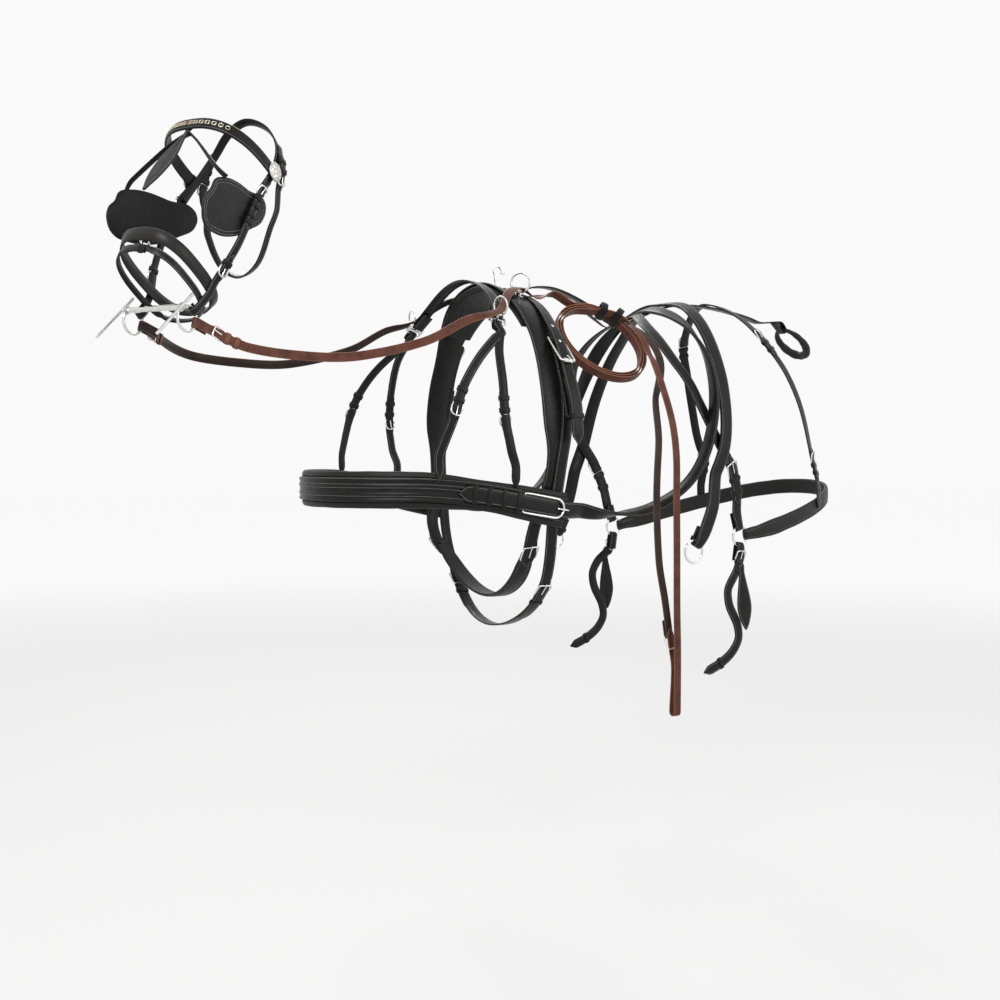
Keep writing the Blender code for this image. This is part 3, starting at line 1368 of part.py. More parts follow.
def rein_left_route():
    end, radius = at_bit_ring(1, rein_way, rein_width)
    places = list(reversed(end)) + [in_space(*row) for row in rein_neck_rows]
    places += by_terret("left", 1)
    places.append(in_space(*rein_to_coil))
    wound = []
    count = int(coil_turn / coil_step)
    for k in range(count + 1):
        turned_by = coil_turn * k / count
        wound.append(on_coil(coil_start - turned_by, coil_pitch * turned_by / 360))
    deep = coil_pitch * coil_turn / 360
    last = coil_start - coil_turn + 1080
    places += wound
    places += [
        on_coil(last - 16, deep, 0.30 * coil_over), on_coil(last - 32, deep, 0.80 * coil_over),
        on_coil(last - 46, deep * 0.9, coil_over, 0.15), on_coil(last - 58, deep * 0.55, coil_over, 0.5),
        on_coil(last - 72, deep * 0.15, coil_over * 0.8, 0.85), on_coil(last - 88, -wire / 2, coil_flat, 1.0),
        on_coil(last - 104, -wire / 2, coil_flat, 1.0),
    ]
    places += [in_space(*row) for row in rein_drop_rows]
    return places, wound, radius


rein_drop_rows = ((0.2047, 0.94, -0.235, (0.85, 0, 0.5)), (0.2040, 1.09, -0.34, (0.97, 0, 0.2)),
                  (0.2053, 1.20, -0.45, (1, 0, 0.1)), (0.2060, 1.25, -0.56, (1, 0, 0)),
                  (0.2070, 1.25, -0.70, (1, 0, 0)), (0.2080, 1.25, -0.857, (1, 0, 0)), (0.2090, 1.25, -1.10, (1, 0, 0)),
                  (0.2107, 1.25, -1.24, (1, 0, 0)))
rein_right_rows = ((0.120, -0.26, 0.028, (0, 0, 1)), (0.180, -0.18, 0.012, (0, 0, 1)))
rein_right_skin_rows = ((0.578, -0.02, 2.2), (0.586, 0.05, 1.9), (0.588, 0.11, 1.6), (0.586, 0.18, 1.4),
                        (0.577, 0.25, 1.4), (0.555, 0.31, 1.8))
rein_hang_rows = ((0.187, 1.082, -0.368), (0.1793, 1.18, -0.50), (0.170, 1.225, -0.62), (0.169, 1.225, -0.72),
                  (0.1747, 1.225, -0.93), (0.190, 1.205, -1.06), (0.204, 1.18, -1.19))
rein_loop_radius = 10 * mm
rein_loop_bottom = 1020 * mm


def make_reins():
    left, wound, radius = rein_left_route()
    right_end = [in_space(*row, (1, 0, 0)) for row in rein_hang_rows]
    end, right_radius = at_bit_ring(-1, rein_way, rein_width)
    right = list(reversed(end))
    for along, across, height, out in rein_neck_rows:
        right.append(in_space(along, -across, height, (-out[0], out[1], out[2])))
    right += by_terret("right", -1)
    right += [in_space(*row) for row in rein_right_rows]
    right += body_route(rein_right_skin_rows)
    bar_fold = fine_wire / 2 + fit
    bar, down, out = fold_middle(right_end, bar_fold)
    tip_under = bar_fold + 2 * rein_thick + lay_gap
    rise_x = (left[-1][0] - bar).dot(out)
    turn_radius = (rise_x - tip_under) / 2
    low = Vector((left[-1][0].x, left[-1][0].y, -rein_loop_bottom))
    left.append((low, out))
    middle = low - out * turn_radius
    for k in range(1, 7):
        angle = math.pi * k / 6
        way = out * math.cos(angle) - up * math.sin(angle)
        left.append((middle + way * turn_radius, way))
    for away in (2.6, 1.0, 0.0, -0.7):
        left.append((bar + down * rein_buckle_length * away + out * tip_under, -out))
    strap("rein_left", left, rein_width, brown, thick=rein_thick, fold_start=radius, point_end=True)
    strap("rein_right", right + right_end, rein_width, brown, thick=rein_thick, fold_start=right_radius,
          fold=bar_fold)
    print("coil's least gap, mm:", round(least_gap(wound) / mm, 2))
    far = bar + down * rein_buckle_length + out * (tip_under + fine_wire / 2 + lay_gap)
    matrix = frame_matrix(bar, far, out)
    points = squared_frame((far - bar).length, rein_width + fine_wire, fine_wire)
    wire_shape("rein_buckle", points, fine_wire, steel, matrix, closed=True)


def least_gap(wound):
    """The least gap between neighbouring turns of the coil."""
    least = math.inf
    per_turn = 360 / coil_turn * (len(wound) - 1)
    for i, (point, out) in enumerate(wound):
        for j in range(int(i + per_turn * 0.6), len(wound)):
            other = wound[j][0]
            away = point - other
            if away.length < coil_pitch * 3:
                least = min(least, abs(away.dot(out)) - rein_thick)
    return least


make_saddle()
make_terrets()
make_hook()
make_tugs()
make_bands()
make_collar()
for side, sign in sides:
    make_trace(side, sign)
make_neck_strap()
make_back_strap()
make_breeching()
make_headstall()
make_nosebands()
make_blinkers()
make_bit()
make_reins()
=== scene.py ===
# %% [markdown]
# # A single driving harness, dressed
#
# The imported CAD model gives every strap, buckle and ring its place. This script gives them their looks. A strap
# in the CAD is a plain loft, so the script reads the loft's rings back, sweeps a finer leather section along
# them and replaces the CAD solid. Stitches, links and beads are laid by one small Geometry Nodes tree.

# %% Load the frame
import json
import math

import bmesh
import bpy
import numpy as np
from mathutils import Matrix, Vector


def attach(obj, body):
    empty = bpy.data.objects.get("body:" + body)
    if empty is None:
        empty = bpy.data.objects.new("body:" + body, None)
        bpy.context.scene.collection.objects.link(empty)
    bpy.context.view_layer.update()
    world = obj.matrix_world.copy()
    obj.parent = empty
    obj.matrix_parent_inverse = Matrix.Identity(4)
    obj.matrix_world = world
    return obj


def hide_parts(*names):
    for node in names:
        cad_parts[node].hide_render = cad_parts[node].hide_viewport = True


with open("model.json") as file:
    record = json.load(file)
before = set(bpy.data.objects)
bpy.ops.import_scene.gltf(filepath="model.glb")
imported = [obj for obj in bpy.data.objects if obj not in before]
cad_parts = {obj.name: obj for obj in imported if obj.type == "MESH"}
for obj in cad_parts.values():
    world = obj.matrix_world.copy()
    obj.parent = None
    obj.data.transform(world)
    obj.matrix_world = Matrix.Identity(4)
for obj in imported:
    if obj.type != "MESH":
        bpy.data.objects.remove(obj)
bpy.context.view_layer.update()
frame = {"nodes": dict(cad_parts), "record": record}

mm = 0.001
sides = (("left", 1), ("right", -1))
jointed = {node: body for body, nodes in frame["record"]["behaviour"]["bodies"].items() for node in nodes}

# %% [markdown]
# ## The camera
#
# The photograph is taken from the near side and partly from the front, from a little above the breast collar.
# The focal length is kept in pixels of the square picture, so the same numbers tell where a point of the harness
# is seen, which places the small fittings on the straps that carry them.

# %% Camera
camera_turn = math.radians(56.5)
camera_pitch = math.radians(2.2)
focal_pixels = 1400
picture_pixels = 1000
sensor_width = 36
camera_at = np.array((2.93, -1.92, -0.37))
looking = np.array((-math.sin(camera_turn) * math.cos(camera_pitch),
                    math.cos(camera_turn) * math.cos(camera_pitch), -math.sin(camera_pitch)))
rightward = np.array((math.cos(camera_turn), math.sin(camera_turn), 0))
upward = np.cross(rightward, looking)


def in_scene(name, data):
    """A new object in the scene, at the origin."""
    thing = bpy.data.objects.new(name, data)
    bpy.context.scene.collection.objects.link(thing)
    return thing


lens = bpy.data.cameras.new("camera")
lens.sensor_width = sensor_width
lens.lens = sensor_width * focal_pixels / picture_pixels
camera = in_scene("camera", lens)
camera_ways = Matrix((rightward, upward, -looking)).transposed().to_4x4()
camera.matrix_world = Matrix.Translation(camera_at) @ camera_ways
bpy.context.scene.camera = camera


def seen(points):
    """Where points are in the picture, in pixels from its top left corner."""
    away = points - camera_at
    deep = away @ looking
    middle = picture_pixels / 2
    return np.stack((middle + focal_pixels * (away @ rightward) / deep,
                     middle - focal_pixels * (away @ upward) / deep), axis=-1)


print("the saddle is seen at", seen(np.zeros(3)).round())

# %% [markdown]
# ## Leather
#
# Bridle leather is dyed through, waxed and rubbed down, so it is nearly black and satin. Its grain is a net of
# tiny cells, made here by Voronoi noise on Object coordinates. The cut edges are rubbed smooth, and their colour
# is painted lighter, partly for the rubbed edge and partly as a painted highlight where they catch the light. They
# are found from the strap's own UV map, whose second value runs from -1 to 1 across it.


# %% Leather materials
def new_material(name):
    """A new material with its nodes and links."""
    made = bpy.data.materials.new(name)
    made.use_nodes = True
    return made, made.node_tree.nodes, made.node_tree.links


def added(nodes, kind, **values):
    """A new shader node with its inputs set by name, in which _ stands for a space."""
    made = nodes.new("ShaderNode" + kind)
    for name, value in values.items():
        made.inputs[name.replace("_", " ")].default_value = value
    return made


def object_noise(nodes, links, scale, low, high):
    """A soft value between two limits that follows noise on Object coordinates."""
    noise = added(nodes, "TexNoise", Scale=scale, Detail=4.0)
    links.new(added(nodes, "TexCoord").outputs["Object"], noise.inputs["Vector"])
    spread = added(nodes, "MapRange", From_Min=0.3, From_Max=0.7, To_Min=low, To_Max=high)
    links.new(noise.outputs["Fac"], spread.inputs["Value"])
    return spread.outputs["Result"]


def mixed_colour(nodes, links, share, first, second):
    """A colour node that goes from the first colour to the second by a share."""
    mix = nodes.new("ShaderNodeMix")
    mix.data_type = "RGBA"
    links.new(share, mix.inputs["Factor"])
    for socket, colour in ((mix.inputs[6], first), (mix.inputs[7], second)):
        if isinstance(colour, bpy.types.NodeSocket):
            links.new(colour, socket)
        else:
            socket.default_value = (*colour, 1)
    return mix.outputs[2]


def leather(name, dark, light, edge, rough, grain, cell=1500, edge_from=0.93):
    """Grained leather whose edges are painted lighter, partly for the rubbed edge and partly as a painted highlight.
    """
    made, nodes, links = new_material(name)
    shader = nodes["Principled BSDF"]
    shader.inputs["Specular IOR Level"].default_value = 0.2
    body = mixed_colour(nodes, links, object_noise(nodes, links, 35, 0, 1), dark, light)
    strap_map = added(nodes, "UVMap")
    strap_map.uv_map = "strap"
    split = added(nodes, "SeparateXYZ")
    links.new(strap_map.outputs["UV"], split.inputs["Vector"])
    away = added(nodes, "Math")
    away.operation = "ABSOLUTE"
    links.new(split.outputs["Y"], away.inputs[0])
    # The edge colour is partly rubbed edge and partly a painted highlight where the edges catch the light.
    edge_wear_and_highlight = added(nodes, "MapRange", From_Min=edge_from, From_Max=1.0)
    links.new(away.outputs["Value"], edge_wear_and_highlight.inputs["Value"])
    links.new(mixed_colour(nodes, links, edge_wear_and_highlight.outputs["Result"], body, edge), shader.inputs["Base Color"])
    links.new(object_noise(nodes, links, 90, rough - 0.07, rough + 0.08), shader.inputs["Roughness"])
    cells = added(nodes, "TexVoronoi", Scale=cell)
    links.new(added(nodes, "TexCoord").outputs["Object"], cells.inputs["Vector"])
    bump = added(nodes, "Bump", Strength=grain, Distance=0.2 * mm)
    links.new(cells.outputs["Distance"], bump.inputs["Height"])
    folds = added(nodes, "Bump", Strength=0.25, Distance=0.8 * mm)
    links.new(object_noise(nodes, links, 60, 0, 1), folds.inputs["Height"])
    links.new(bump.outputs["Normal"], folds.inputs["Normal"])
    links.new(folds.outputs["Normal"], shader.inputs["Normal"])
    return made


rein_finish = dict(rough=0.42, grain=0.4, cell=1300, edge_from=0.82)
bridle_leather = leather("bridle_leather", (0.007, 0.0065, 0.006), (0.013, 0.012, 0.0112),
                         (0.03, 0.027, 0.025), 0.32, 0.35)
pad_leather = leather("soft_pad_leather", (0.009, 0.0085, 0.008), (0.016, 0.015, 0.014),
                      (0.02, 0.019, 0.018), 0.44, 0.6, 900, 1.2)
rein_leather = leather("rein_leather", (0.085, 0.028, 0.019), (0.17, 0.060, 0.038),
                       (0.30, 0.135, 0.085), **rein_finish)
# The right rein gets a darker copy of the rein leather: painted shade, as the far rein lies in shadow.
dark_rein_leather = leather("dark_rein_leather", (0.022, 0.013, 0.010), (0.045, 0.025, 0.018),
                            (0.16, 0.11, 0.085), **rein_finish)
print("leathers", bridle_leather.name, pad_leather.name, rein_leather.name, dark_rein_leather.name)

# %% [markdown]
# ## Metal and thread
#
# The rings and buckles are polished steel, which is mostly a mirror with faint wiping marks, so its roughness
# wanders a little. The rosettes are a softer engraved silver, and the browband chain has silver links, gilt
# links and one small red stone. The thread is light grey waxed linen.


# %% Metal, stone and thread materials
def metal(name, colour, low, high, marks=0.05):
    """Polished metal whose roughness wanders between two limits."""
    made, nodes, links = new_material(name)
    shader = nodes["Principled BSDF"]
    shader.inputs["Metallic"].default_value = 1.0
    shade = tuple(0.86 * v for v in colour)
    links.new(mixed_colour(nodes, links, object_noise(nodes, links, 120, 0, 1), shade, colour),
              shader.inputs["Base Color"])
    links.new(object_noise(nodes, links, 260, low, high), shader.inputs["Roughness"])
    bump = added(nodes, "Bump", Strength=marks, Distance=0.1 * mm)
    links.new(object_noise(nodes, links, 900, 0, 1), bump.inputs["Height"])
    links.new(bump.outputs["Normal"], shader.inputs["Normal"])
    return made


def thread_material(name, dark, light):
    """A dull finish that wanders between two colours."""
    made, nodes, links = new_material(name)
    shader = nodes["Principled BSDF"]
    shader.inputs["Roughness"].default_value = 0.7
    links.new(mixed_colour(nodes, links, object_noise(nodes, links, 300, 0, 1), dark, light),
              shader.inputs["Base Color"])
    return made


steel = metal("polished_steel", (0.78, 0.77, 0.75), 0.10, 0.22)
silver = metal("engraved_silver", (0.74, 0.72, 0.68), 0.22, 0.36, 0.25)
gilt = metal("pale_gilt", (0.82, 0.66, 0.38), 0.16, 0.28)
thread = thread_material("grey_thread", (0.36, 0.35, 0.34), (0.55, 0.54, 0.52))
hole_shade = thread_material("punched_hole", (0.004, 0.004, 0.004), (0.007, 0.006, 0.006))
stone, stone_nodes, _ = new_material("red_stone")
stone_nodes["Principled BSDF"].inputs["Base Color"].default_value = (0.35, 0.015, 0.02, 1)
stone_nodes["Principled BSDF"].inputs["Roughness"].default_value = 0.08
print("metals", steel.name, silver.name, gilt.name)

# %% [markdown]
# ## Reading the rings of a loft
#
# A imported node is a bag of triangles. Its doubles are merged, and then a ring of the loft is a layer: the points
# one step further from one end than the last layer. The end itself is a flat cap, and the right cap is the one
# whose layers all have as many points as the section has. Here are the small rules for points that all of it uses.

# %% Points and triangles
weld = 0.01 * mm
no_area = 1e-20


def unit(ways):
    """Ways made one long."""
    return ways / np.linalg.norm(ways, axis=-1, keepdims=True)


def run_of(points):
    """The distance along a line at each of its points."""
    return np.concatenate(([0], np.cumsum(np.linalg.norm(np.diff(points, axis=0), axis=1))))


def circle(count, one, other):
    """Ways all round a circle, from one way towards the other."""
    turn = 2 * math.pi * np.arange(count) / count
    return np.outer(np.cos(turn), one) + np.outer(np.sin(turn), other)


def face_normals(spots, tris):
    """The way out of each triangle, and nought where it has no area."""
    normals = np.cross(spots[tris[:, 1]] - spots[tris[:, 0]], spots[tris[:, 2]] - spots[tris[:, 0]])
    return normals / (np.linalg.norm(normals, axis=1)[:, None] + no_area)


def middle_and_ways(spots):
    """The middle of some points and the ways they spread in, the widest first."""
    middle = spots.mean(axis=0)
    return middle, np.linalg.svd(spots - middle)[2]


def merged(node):
    """The points of a CAD node with its doubles merged, and its triangles."""
    mesh = frame["nodes"][node].data
    spots = np.array([v.co[:] for v in mesh.vertices])
    corners = np.array([p.vertices[:] for p in mesh.polygons])
    _, first, where = np.unique(np.round(spots / weld).astype(np.int64), axis=0, return_index=True,
                                return_inverse=True)
    tris = where.reshape(-1)[corners]
    whole = (tris[:, 0] != tris[:, 1]) & (tris[:, 1] != tris[:, 2]) & (tris[:, 0] != tris[:, 2])
    return spots[first], tris[whole]


print("points of the left cheekpiece:", len(merged("cheekpiece_left")[0]))

# %% [markdown]
# ## Layers of points
#
# A flat cap is a set of triangles that touch and face one way. Steps from point to point then go from that cap to
# the other end. Slicing by planes would be another way, but a plane cuts a coiled strap many times.


# %% Layers
def neighbours(count, tris):
    """For each point, the points it shares a triangle with."""
    near = [set() for _ in range(count)]
    for a, b, c in tris:
        near[a] |= {b, c}
        near[b] |= {a, c}
        near[c] |= {a, b}
    return near


def layers_from(seed, near, size):
    """The layers of points from a seed ring, or None where one hasn't the section's count."""
    found = set(seed)
    rows = [set(seed)]
    while True:
        after = set().union(*(near[k] for k in rows[-1])) - found
        if not after:
            return rows
        if len(after) != size:
            return None
        rows.append(after)
        found |= after


def last_points(start, near):
    """All points in the order of their steps from a start."""
    order = [start]
    found = {start}
    for k in order:
        for n in near[k] - found:
            found.add(n)
            order.append(n)
    return order


def flat_groups(corner, spots, tris):
    """The sets of points of the flat faces that meet at a point."""
    normals = face_normals(spots, tris)
    groups = []
    for first in np.flatnonzero((tris == corner).any(axis=1)):
        same = normals @ normals[first] > 0.9995
        level = np.abs((spots[tris].mean(axis=1) - spots[corner]) @ normals[first]) < 0.05 * mm
        group = set(tris[first])
        grown = True
        candidates = tris[same & level]
        while grown:
            touching = candidates[np.isin(candidates, list(group)).sum(axis=1) >= 2]
            bigger = group | set(touching.reshape(-1))
            grown = len(bigger) > len(group)
            group = bigger
        groups.append(group)
    return groups


cheek_spots, cheek_tris = merged("cheekpiece_left")
cheek_near = neighbours(len(cheek_spots), cheek_tris)
cheek_end = last_points(0, cheek_near)[-1]
cheek_flats = flat_groups(cheek_end, cheek_spots, cheek_tris)
print("points of the flat faces at the cheekpiece's end:", [len(group) for group in cheek_flats])

# %% [markdown]
# ## The order round a ring
#
# A layer is only a set of points. Its own links give the order round it, and each ring is then turned to match
# the ring before it, so that the same corner of the strap has the same number all the way along.


# %% The order round a ring
def cycle(ring, near):
    """A ring's points in order round it, or None where its own links don't make one round."""
    links = {k: sorted(near[k] & ring) for k in ring}
    if any(len(v) != 2 for v in links.values()):
        return None
    walk = [min(ring)]
    walk.append(links[walk[0]][0])
    while len(walk) < len(ring):
        ahead = [n for n in links[walk[-1]] if n != walk[-2]]
        walk.append(ahead[0])
    return walk


def matched(before, ring, spots, near):
    """A ring's points put in the order that lies nearest to the ring before it."""
    order = cycle(ring, near)
    last = spots[before]
    if order is None:
        left = list(ring)
        order = []
        for point in last:
            best = min(left, key=lambda k: np.linalg.norm(spots[k] - point))
            left.remove(best)
            order.append(best)
        return order
    size = len(order)
    choices = [turned[k:] + turned[:k] for turned in (order, order[::-1]) for k in range(size)]
    return min(choices, key=lambda c: float(((spots[c] - last) ** 2).sum()))


def ordered_rows(layers, spots, near):
    """Rows of points, all in the same order round the section, the longest side first."""
    middle = len(layers) // 2
    start = cycle(layers[middle], near)
    span = [np.linalg.norm(spots[start[k]] - spots[start[(k + 1) % len(start)]]) for k in range(len(start))]
    first = int(np.argmax(span))
    start = start[first:] + start[:first]
    ahead = [start]
    for ring in layers[middle + 1:]:
        ahead.append(matched(ahead[-1], ring, spots, near))
    behind = [start]
    for ring in reversed(layers[:middle]):
        behind.append(matched(behind[-1], ring, spots, near))
    return spots[np.array(behind[:0:-1] + ahead)]


print("the order round a square:", cycle({0, 1, 2, 3}, [{1, 3}, {0, 2}, {1, 3}, {0, 2}]))

# %% [markdown]
# ## Rows of rings
#
# Most straps have two ends, and their rings come from layers. A closed band has no cap to start from, so its
# points are grouped by their angle. The back strap has two flat upright sides, so the line round one of them is
# read, cut at its ends and mirrored.


# %% Rows of rings
def open_rows(node, size):
    """The rows of a loft with two ends."""
    spots, tris = merged(node)
    near = neighbours(len(spots), tris)
    ends = last_points(last_points(0, near)[-1], near)[::-1][:3 * size]
    for corner in ends:
        for group in flat_groups(corner, spots, tris):
            if len(group) == size:
                layers = layers_from(group, near, size)
                if layers and len(layers) * size == len(spots):
                    return ordered_rows(layers, spots, near)
    raise ValueError(node + " has no rows of " + str(size))


def round_rows(node, size):
    """The rows of a closed loft, grouped by their angle round its middle."""
    spots, _ = merged(node)
    middle, ways = middle_and_ways(spots)
    flat = (spots - middle) @ ways[:2].T
    order = np.argsort(np.arctan2(flat[:, 1], flat[:, 0]))
    best = None
    for shift in range(size):
        groups = np.roll(order, -shift).reshape(-1, size)
        spread = sum(float(spots[g].std(axis=0).sum()) for g in groups)
        if best is None or spread < best[0]:
            best = (spread, groups)
    rows = []
    for group in best[1]:
        points = spots[group]
        centre = points.mean(axis=0)
        away = points - centre
        angle = np.arctan2(away @ ways[2], away @ unit(centre - middle))
        rows.append(points[np.argsort(angle)])
    return np.array(rows)


def belt_rows(node):
    """The rows of a strap whose sides lie flat in two upright planes, each one face of the CAD."""
    spots, tris = merged(node)
    normals = face_normals(spots, tris)
    near = neighbours(len(spots), tris[np.abs(normals[:, 0]) < 0.7])
    walk = cycle({k for k in range(len(spots)) if spots[k, 0] > 0}, near)
    loop = spots[walk]
    steps = unit(np.roll(loop, -1, axis=0) - loop)
    turns = (steps * np.roll(steps, 1, axis=0)).sum(axis=1)
    caps = [k for k in range(len(loop)) if turns[k] < 0.5 and turns[(k + 1) % len(loop)] < 0.5]
    first, second = sorted(caps)
    one = loop[first + 1:second + 1]
    other = np.roll(loop, -second - 1, axis=0)[:len(loop) - len(one)][::-1]
    low, high = sorted((one, other), key=lambda chain: chain[len(chain) // 2, 2])
    partner = [nearest_on(high, low, k) for k in range(len(high))]
    flip = np.array((-1, 1, 1))
    low = np.array(partner)
    return np.stack((low * flip, low, high, high * flip), axis=1)


def nearest_on(high, low, k):
    """The point of a line that is nearest to the k-th point of its fellow."""
    if k in (0, len(high) - 1):
        return low[0 if k == 0 else -1]
    starts, ends = low[:-1], low[1:]
    along = ends - starts
    share = np.clip(((high[k] - starts) * along).sum(axis=1) / (along**2).sum(axis=1), 0, 1)
    points = starts + along * share[:, None]
    return points[np.argmin(np.linalg.norm(points - high[k], axis=1))]


print("rings of the left cheekpiece:", len(open_rows("cheekpiece_left", 4)))

# %% [markdown]
# ## Sweeping a strap
#
# The rings of the CAD are up to 48 mm apart. A cubic through them gives rings every few millimetres, and each
# gets a real strap's section: rounded edges, a stitching groove near each edge and a slightly crowned middle.
# The underside is the strap's inner side, found by a vote of all the rings.

# %% Strap helpers
strap_gap = 8 * mm
pad_gap = 7 * mm
pixels_per_metre_back = 60


def smoothed(rows, gap, closed=False):
    """Rows put closer together on a smooth line through the given ones."""
    if closed:
        rows = np.concatenate((rows[-1:], rows, rows[:2]))
    middle = rows.mean(axis=1)
    knots = run_of(middle)
    last = len(rows) - 1
    low = np.maximum(np.arange(last + 1) - 1, 0)
    high = np.minimum(np.arange(last + 1) + 1, last)
    slopes = (rows[high] - rows[low]) / (knots[high] - knots[low])[:, None, None]
    made = []
    spans = range(1, last - 1) if closed else range(last)
    for i in spans:
        span = knots[i + 1] - knots[i]
        parts = max(int(math.ceil(span / gap)), 1)
        for k in range(parts):
            t = k / parts
            made.append((2 * t**3 - 3 * t**2 + 1) * rows[i] + (t**3 - 2 * t**2 + t) * span * slopes[i]
                        + (3 * t**2 - 2 * t**3) * rows[i + 1] + (t**3 - t**2) * span * slopes[i + 1])
    if not closed:
        made.append(rows[-1])
    return np.array(made)


class Line:
    """The frames of a strap along its length: underside, way across, way out, half width and thickness."""

    def __init__(self, rows):
        a, b, c, d = (rows[:, k] for k in range(4))
        self.under = (a + b) / 2
        self.half = np.linalg.norm(b - a, axis=1) / 2
        self.across = unit(b - a)
        rise = (c + d) / 2 - self.under
        self.thick = np.linalg.norm(rise, axis=1)
        self.out = rise / self.thick[:, None]
        self.run = run_of(self.under)

    @property
    def length(self):
        return self.run[-1]

    def at(self, distance):
        """Underside, tangent, way across, way out, half width and thickness at a distance."""
        distance = min(max(distance, 0.0), self.length)
        i = min(int(np.searchsorted(self.run, distance, side="right")) - 1, len(self.run) - 2)
        t = (distance - self.run[i]) / (self.run[i + 1] - self.run[i])

        def mix(values):
            return values[i] * (1 - t) + values[i + 1] * t

        out = unit(mix(self.out))
        across = unit(mix(self.across))
        return mix(self.under), unit(np.cross(out, across)), across, out, mix(self.half), mix(self.thick)

    def spot(self, distance, aside, raised):
        """A point beside the middle of the strap's top side and raised off it."""
        under, _, across, out, _, thick = self.at(distance)
        return under + across * aside + out * (thick + raised)

    def nearest(self, pixel):
        """The distance along the strap at which it is seen nearest to a pixel, on its front run if it has two."""
        top = self.under + self.out * self.thick[:, None]
        miss = np.linalg.norm(seen(top) - np.array(pixel), axis=1)
        return float(self.run[np.argmin(miss + pixels_per_metre_back * (top - camera_at) @ looking)])


print("straps get a ring every", strap_gap / mm, "mm")

# %% [markdown]
# ## The inner side
#
# The strap's two broad sides look the same in the CAD. The inner one is nearer to what the strap goes round: a
# slanting line down the middle of the bridle for its straps, and a level line through the harness for the rest.

# %% The inner side
poll = np.array((0, -0.68, 0.342))
face_way = np.array((0.2484, -0.5327, -0.8090))
middle_height = -0.35
head_nodes = {"crown_piece", "throatlatch", "cheekpiece_left", "cheekpiece_right"}


def inner_point(node, points):
    """The middle of what a strap goes round, beside each of its points."""
    if node in head_nodes:
        return poll + np.outer((points - poll) @ face_way, face_way)
    inner = points.copy()
    inner[:, 0] = 0
    inner[:, 2] = middle_height
    return inner


def facing_out(node, rows):
    """A flat strap's rows with the inner side first."""
    low = (rows[:, 0] + rows[:, 1]) / 2
    high = (rows[:, 2] + rows[:, 3]) / 2
    vote = ((high - low) * unit(low - inner_point(node, low))).sum()
    return rows if vote > 0 else rows[:, [2, 3, 0, 1]]


print("straps that go round the bridle's line:", len(head_nodes))

# %% [markdown]
# ## The section of a strap
#
# One ring of points is the section: it starts on the underside, goes round an edge, dips into the groove and
# rises to the crown. The UV map keeps the distance along and the place across, and the leather reads the second.

# %% The section of a strap
groove_deep = 0.35 * mm
stitch_rise = 0.15 * mm


def strap_skin(line, groove=True, crown=0.25 * mm, side=3.4 * mm):
    """The rings of a finished strap and the place of each point across it, with its stitching tracks."""
    half = line.half[:, None]
    thick = line.thick[:, None]
    edge = np.minimum(0.28 * thick, 0.4 * half)
    track = np.minimum(side, 0.30 * half)
    lip = np.minimum(0.8 * mm, 0.3 * track)
    deep = groove_deep if groove else 0.0
    none = np.zeros_like(half)
    steps = [(half - edge, none), (half, edge), (half, thick - edge), (half - edge, thick),
             (half - track + lip, thick), (half - track, thick - deep), (half - track - lip, thick),
             (half * 0.4, thick + crown)]
    ring = [(-x, z) for x, z in steps[:1]] + steps + [(-x, z) for x, z in reversed(steps[1:])]
    rows = np.stack([line.under + line.across * x + line.out * z for x, z in ring], axis=1)
    shares = np.concatenate([x / half for x, _ in ring], axis=1)
    tracks = [line.under + line.across * s * (half - track) + line.out * (thick - deep + stitch_rise) for s in (-1, 1)]
    return rows, shares, tracks


def skin_mesh(name, rows, shares, closed=False):
    """A closed mesh through rings of points, with a map of the distance along and the place across."""
    count, size = rows.shape[:2]
    mesh = bpy.data.meshes.new(name)
    spans = count if closed else count - 1
    k, n = np.meshgrid(np.arange(spans), np.arange(size), indexing="ij")
    after, beside = (k + 1) % count, (n + 1) % size
    quads = np.stack((k * size + n, k * size + beside, after * size + beside, after * size + n), -1).reshape(-1, 4)
    faces = quads.tolist()
    if not closed:
        faces += [list(range(size))[::-1], [(count - 1) * size + n for n in range(size)]]
    mesh.from_pydata(rows.reshape(-1, 3).tolist(), [], faces)
    run = run_of(rows.mean(axis=1))
    places = np.stack((np.repeat(run, size), np.broadcast_to(shares, (count, size)).reshape(-1)), -1)
    chart = mesh.uv_layers.new(name="strap")
    loops = np.zeros(len(mesh.loops), np.int32)
    mesh.loops.foreach_get("vertex_index", loops)
    chart.data.foreach_set("uv", places[loops].astype(np.float32).reshape(-1))
    shape = bmesh.new()
    shape.from_mesh(mesh)
    bmesh.ops.recalc_face_normals(shape, faces=shape.faces)
    shape.to_mesh(mesh)
    shape.free()
    mesh.shade_smooth()
    return mesh


def show(name, mesh, material, body="harness", instead=()):
    """Puts a finished mesh in the scene, riding on its body and standing for its CAD nodes."""
    if material is not None:
        mesh.materials.clear()
        mesh.materials.append(material)
    thing = in_scene(name, mesh)
    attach(thing, body)
    if instead:
        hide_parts(*instead)
    return thing


cheek_line = Line(facing_out("cheekpiece_left", open_rows("cheekpiece_left", 4)))
print("points in a strap's section:", strap_skin(cheek_line)[0].shape[1])

# %% [markdown]
# ## The flat straps
#
# Every flat strap is read, made smooth and shown here. The stitching tracks are kept in groups, because the
# stitches are laid later. The reins have no stitching.

# %% Flat straps
flat_straps = {
    "bridle": ("crown_piece", "cheekpiece_left", "cheekpiece_right", "throatlatch"),
    "saddle": ("saddle_top", "backband", "shaft_tug_left", "shaft_tug_right", "belly_band"),
    "collar": ("neck_strap", "neck_fork_left", "neck_fork_right", "trace_left", "trace_right"),
    "rear": ("back_strap", "loin_strap", "hip_strap", "holdback_left", "holdback_right"),
    "rein": ("rein_left", "rein_right"),
}
widest = 0.0
lines = {}
tracks = {group: [] for group in flat_straps}


def add_tracks(group, line, found):
    """Keeps a strap's stitching tracks for later."""
    for path in found:
        tracks[group].append((path, line.out))


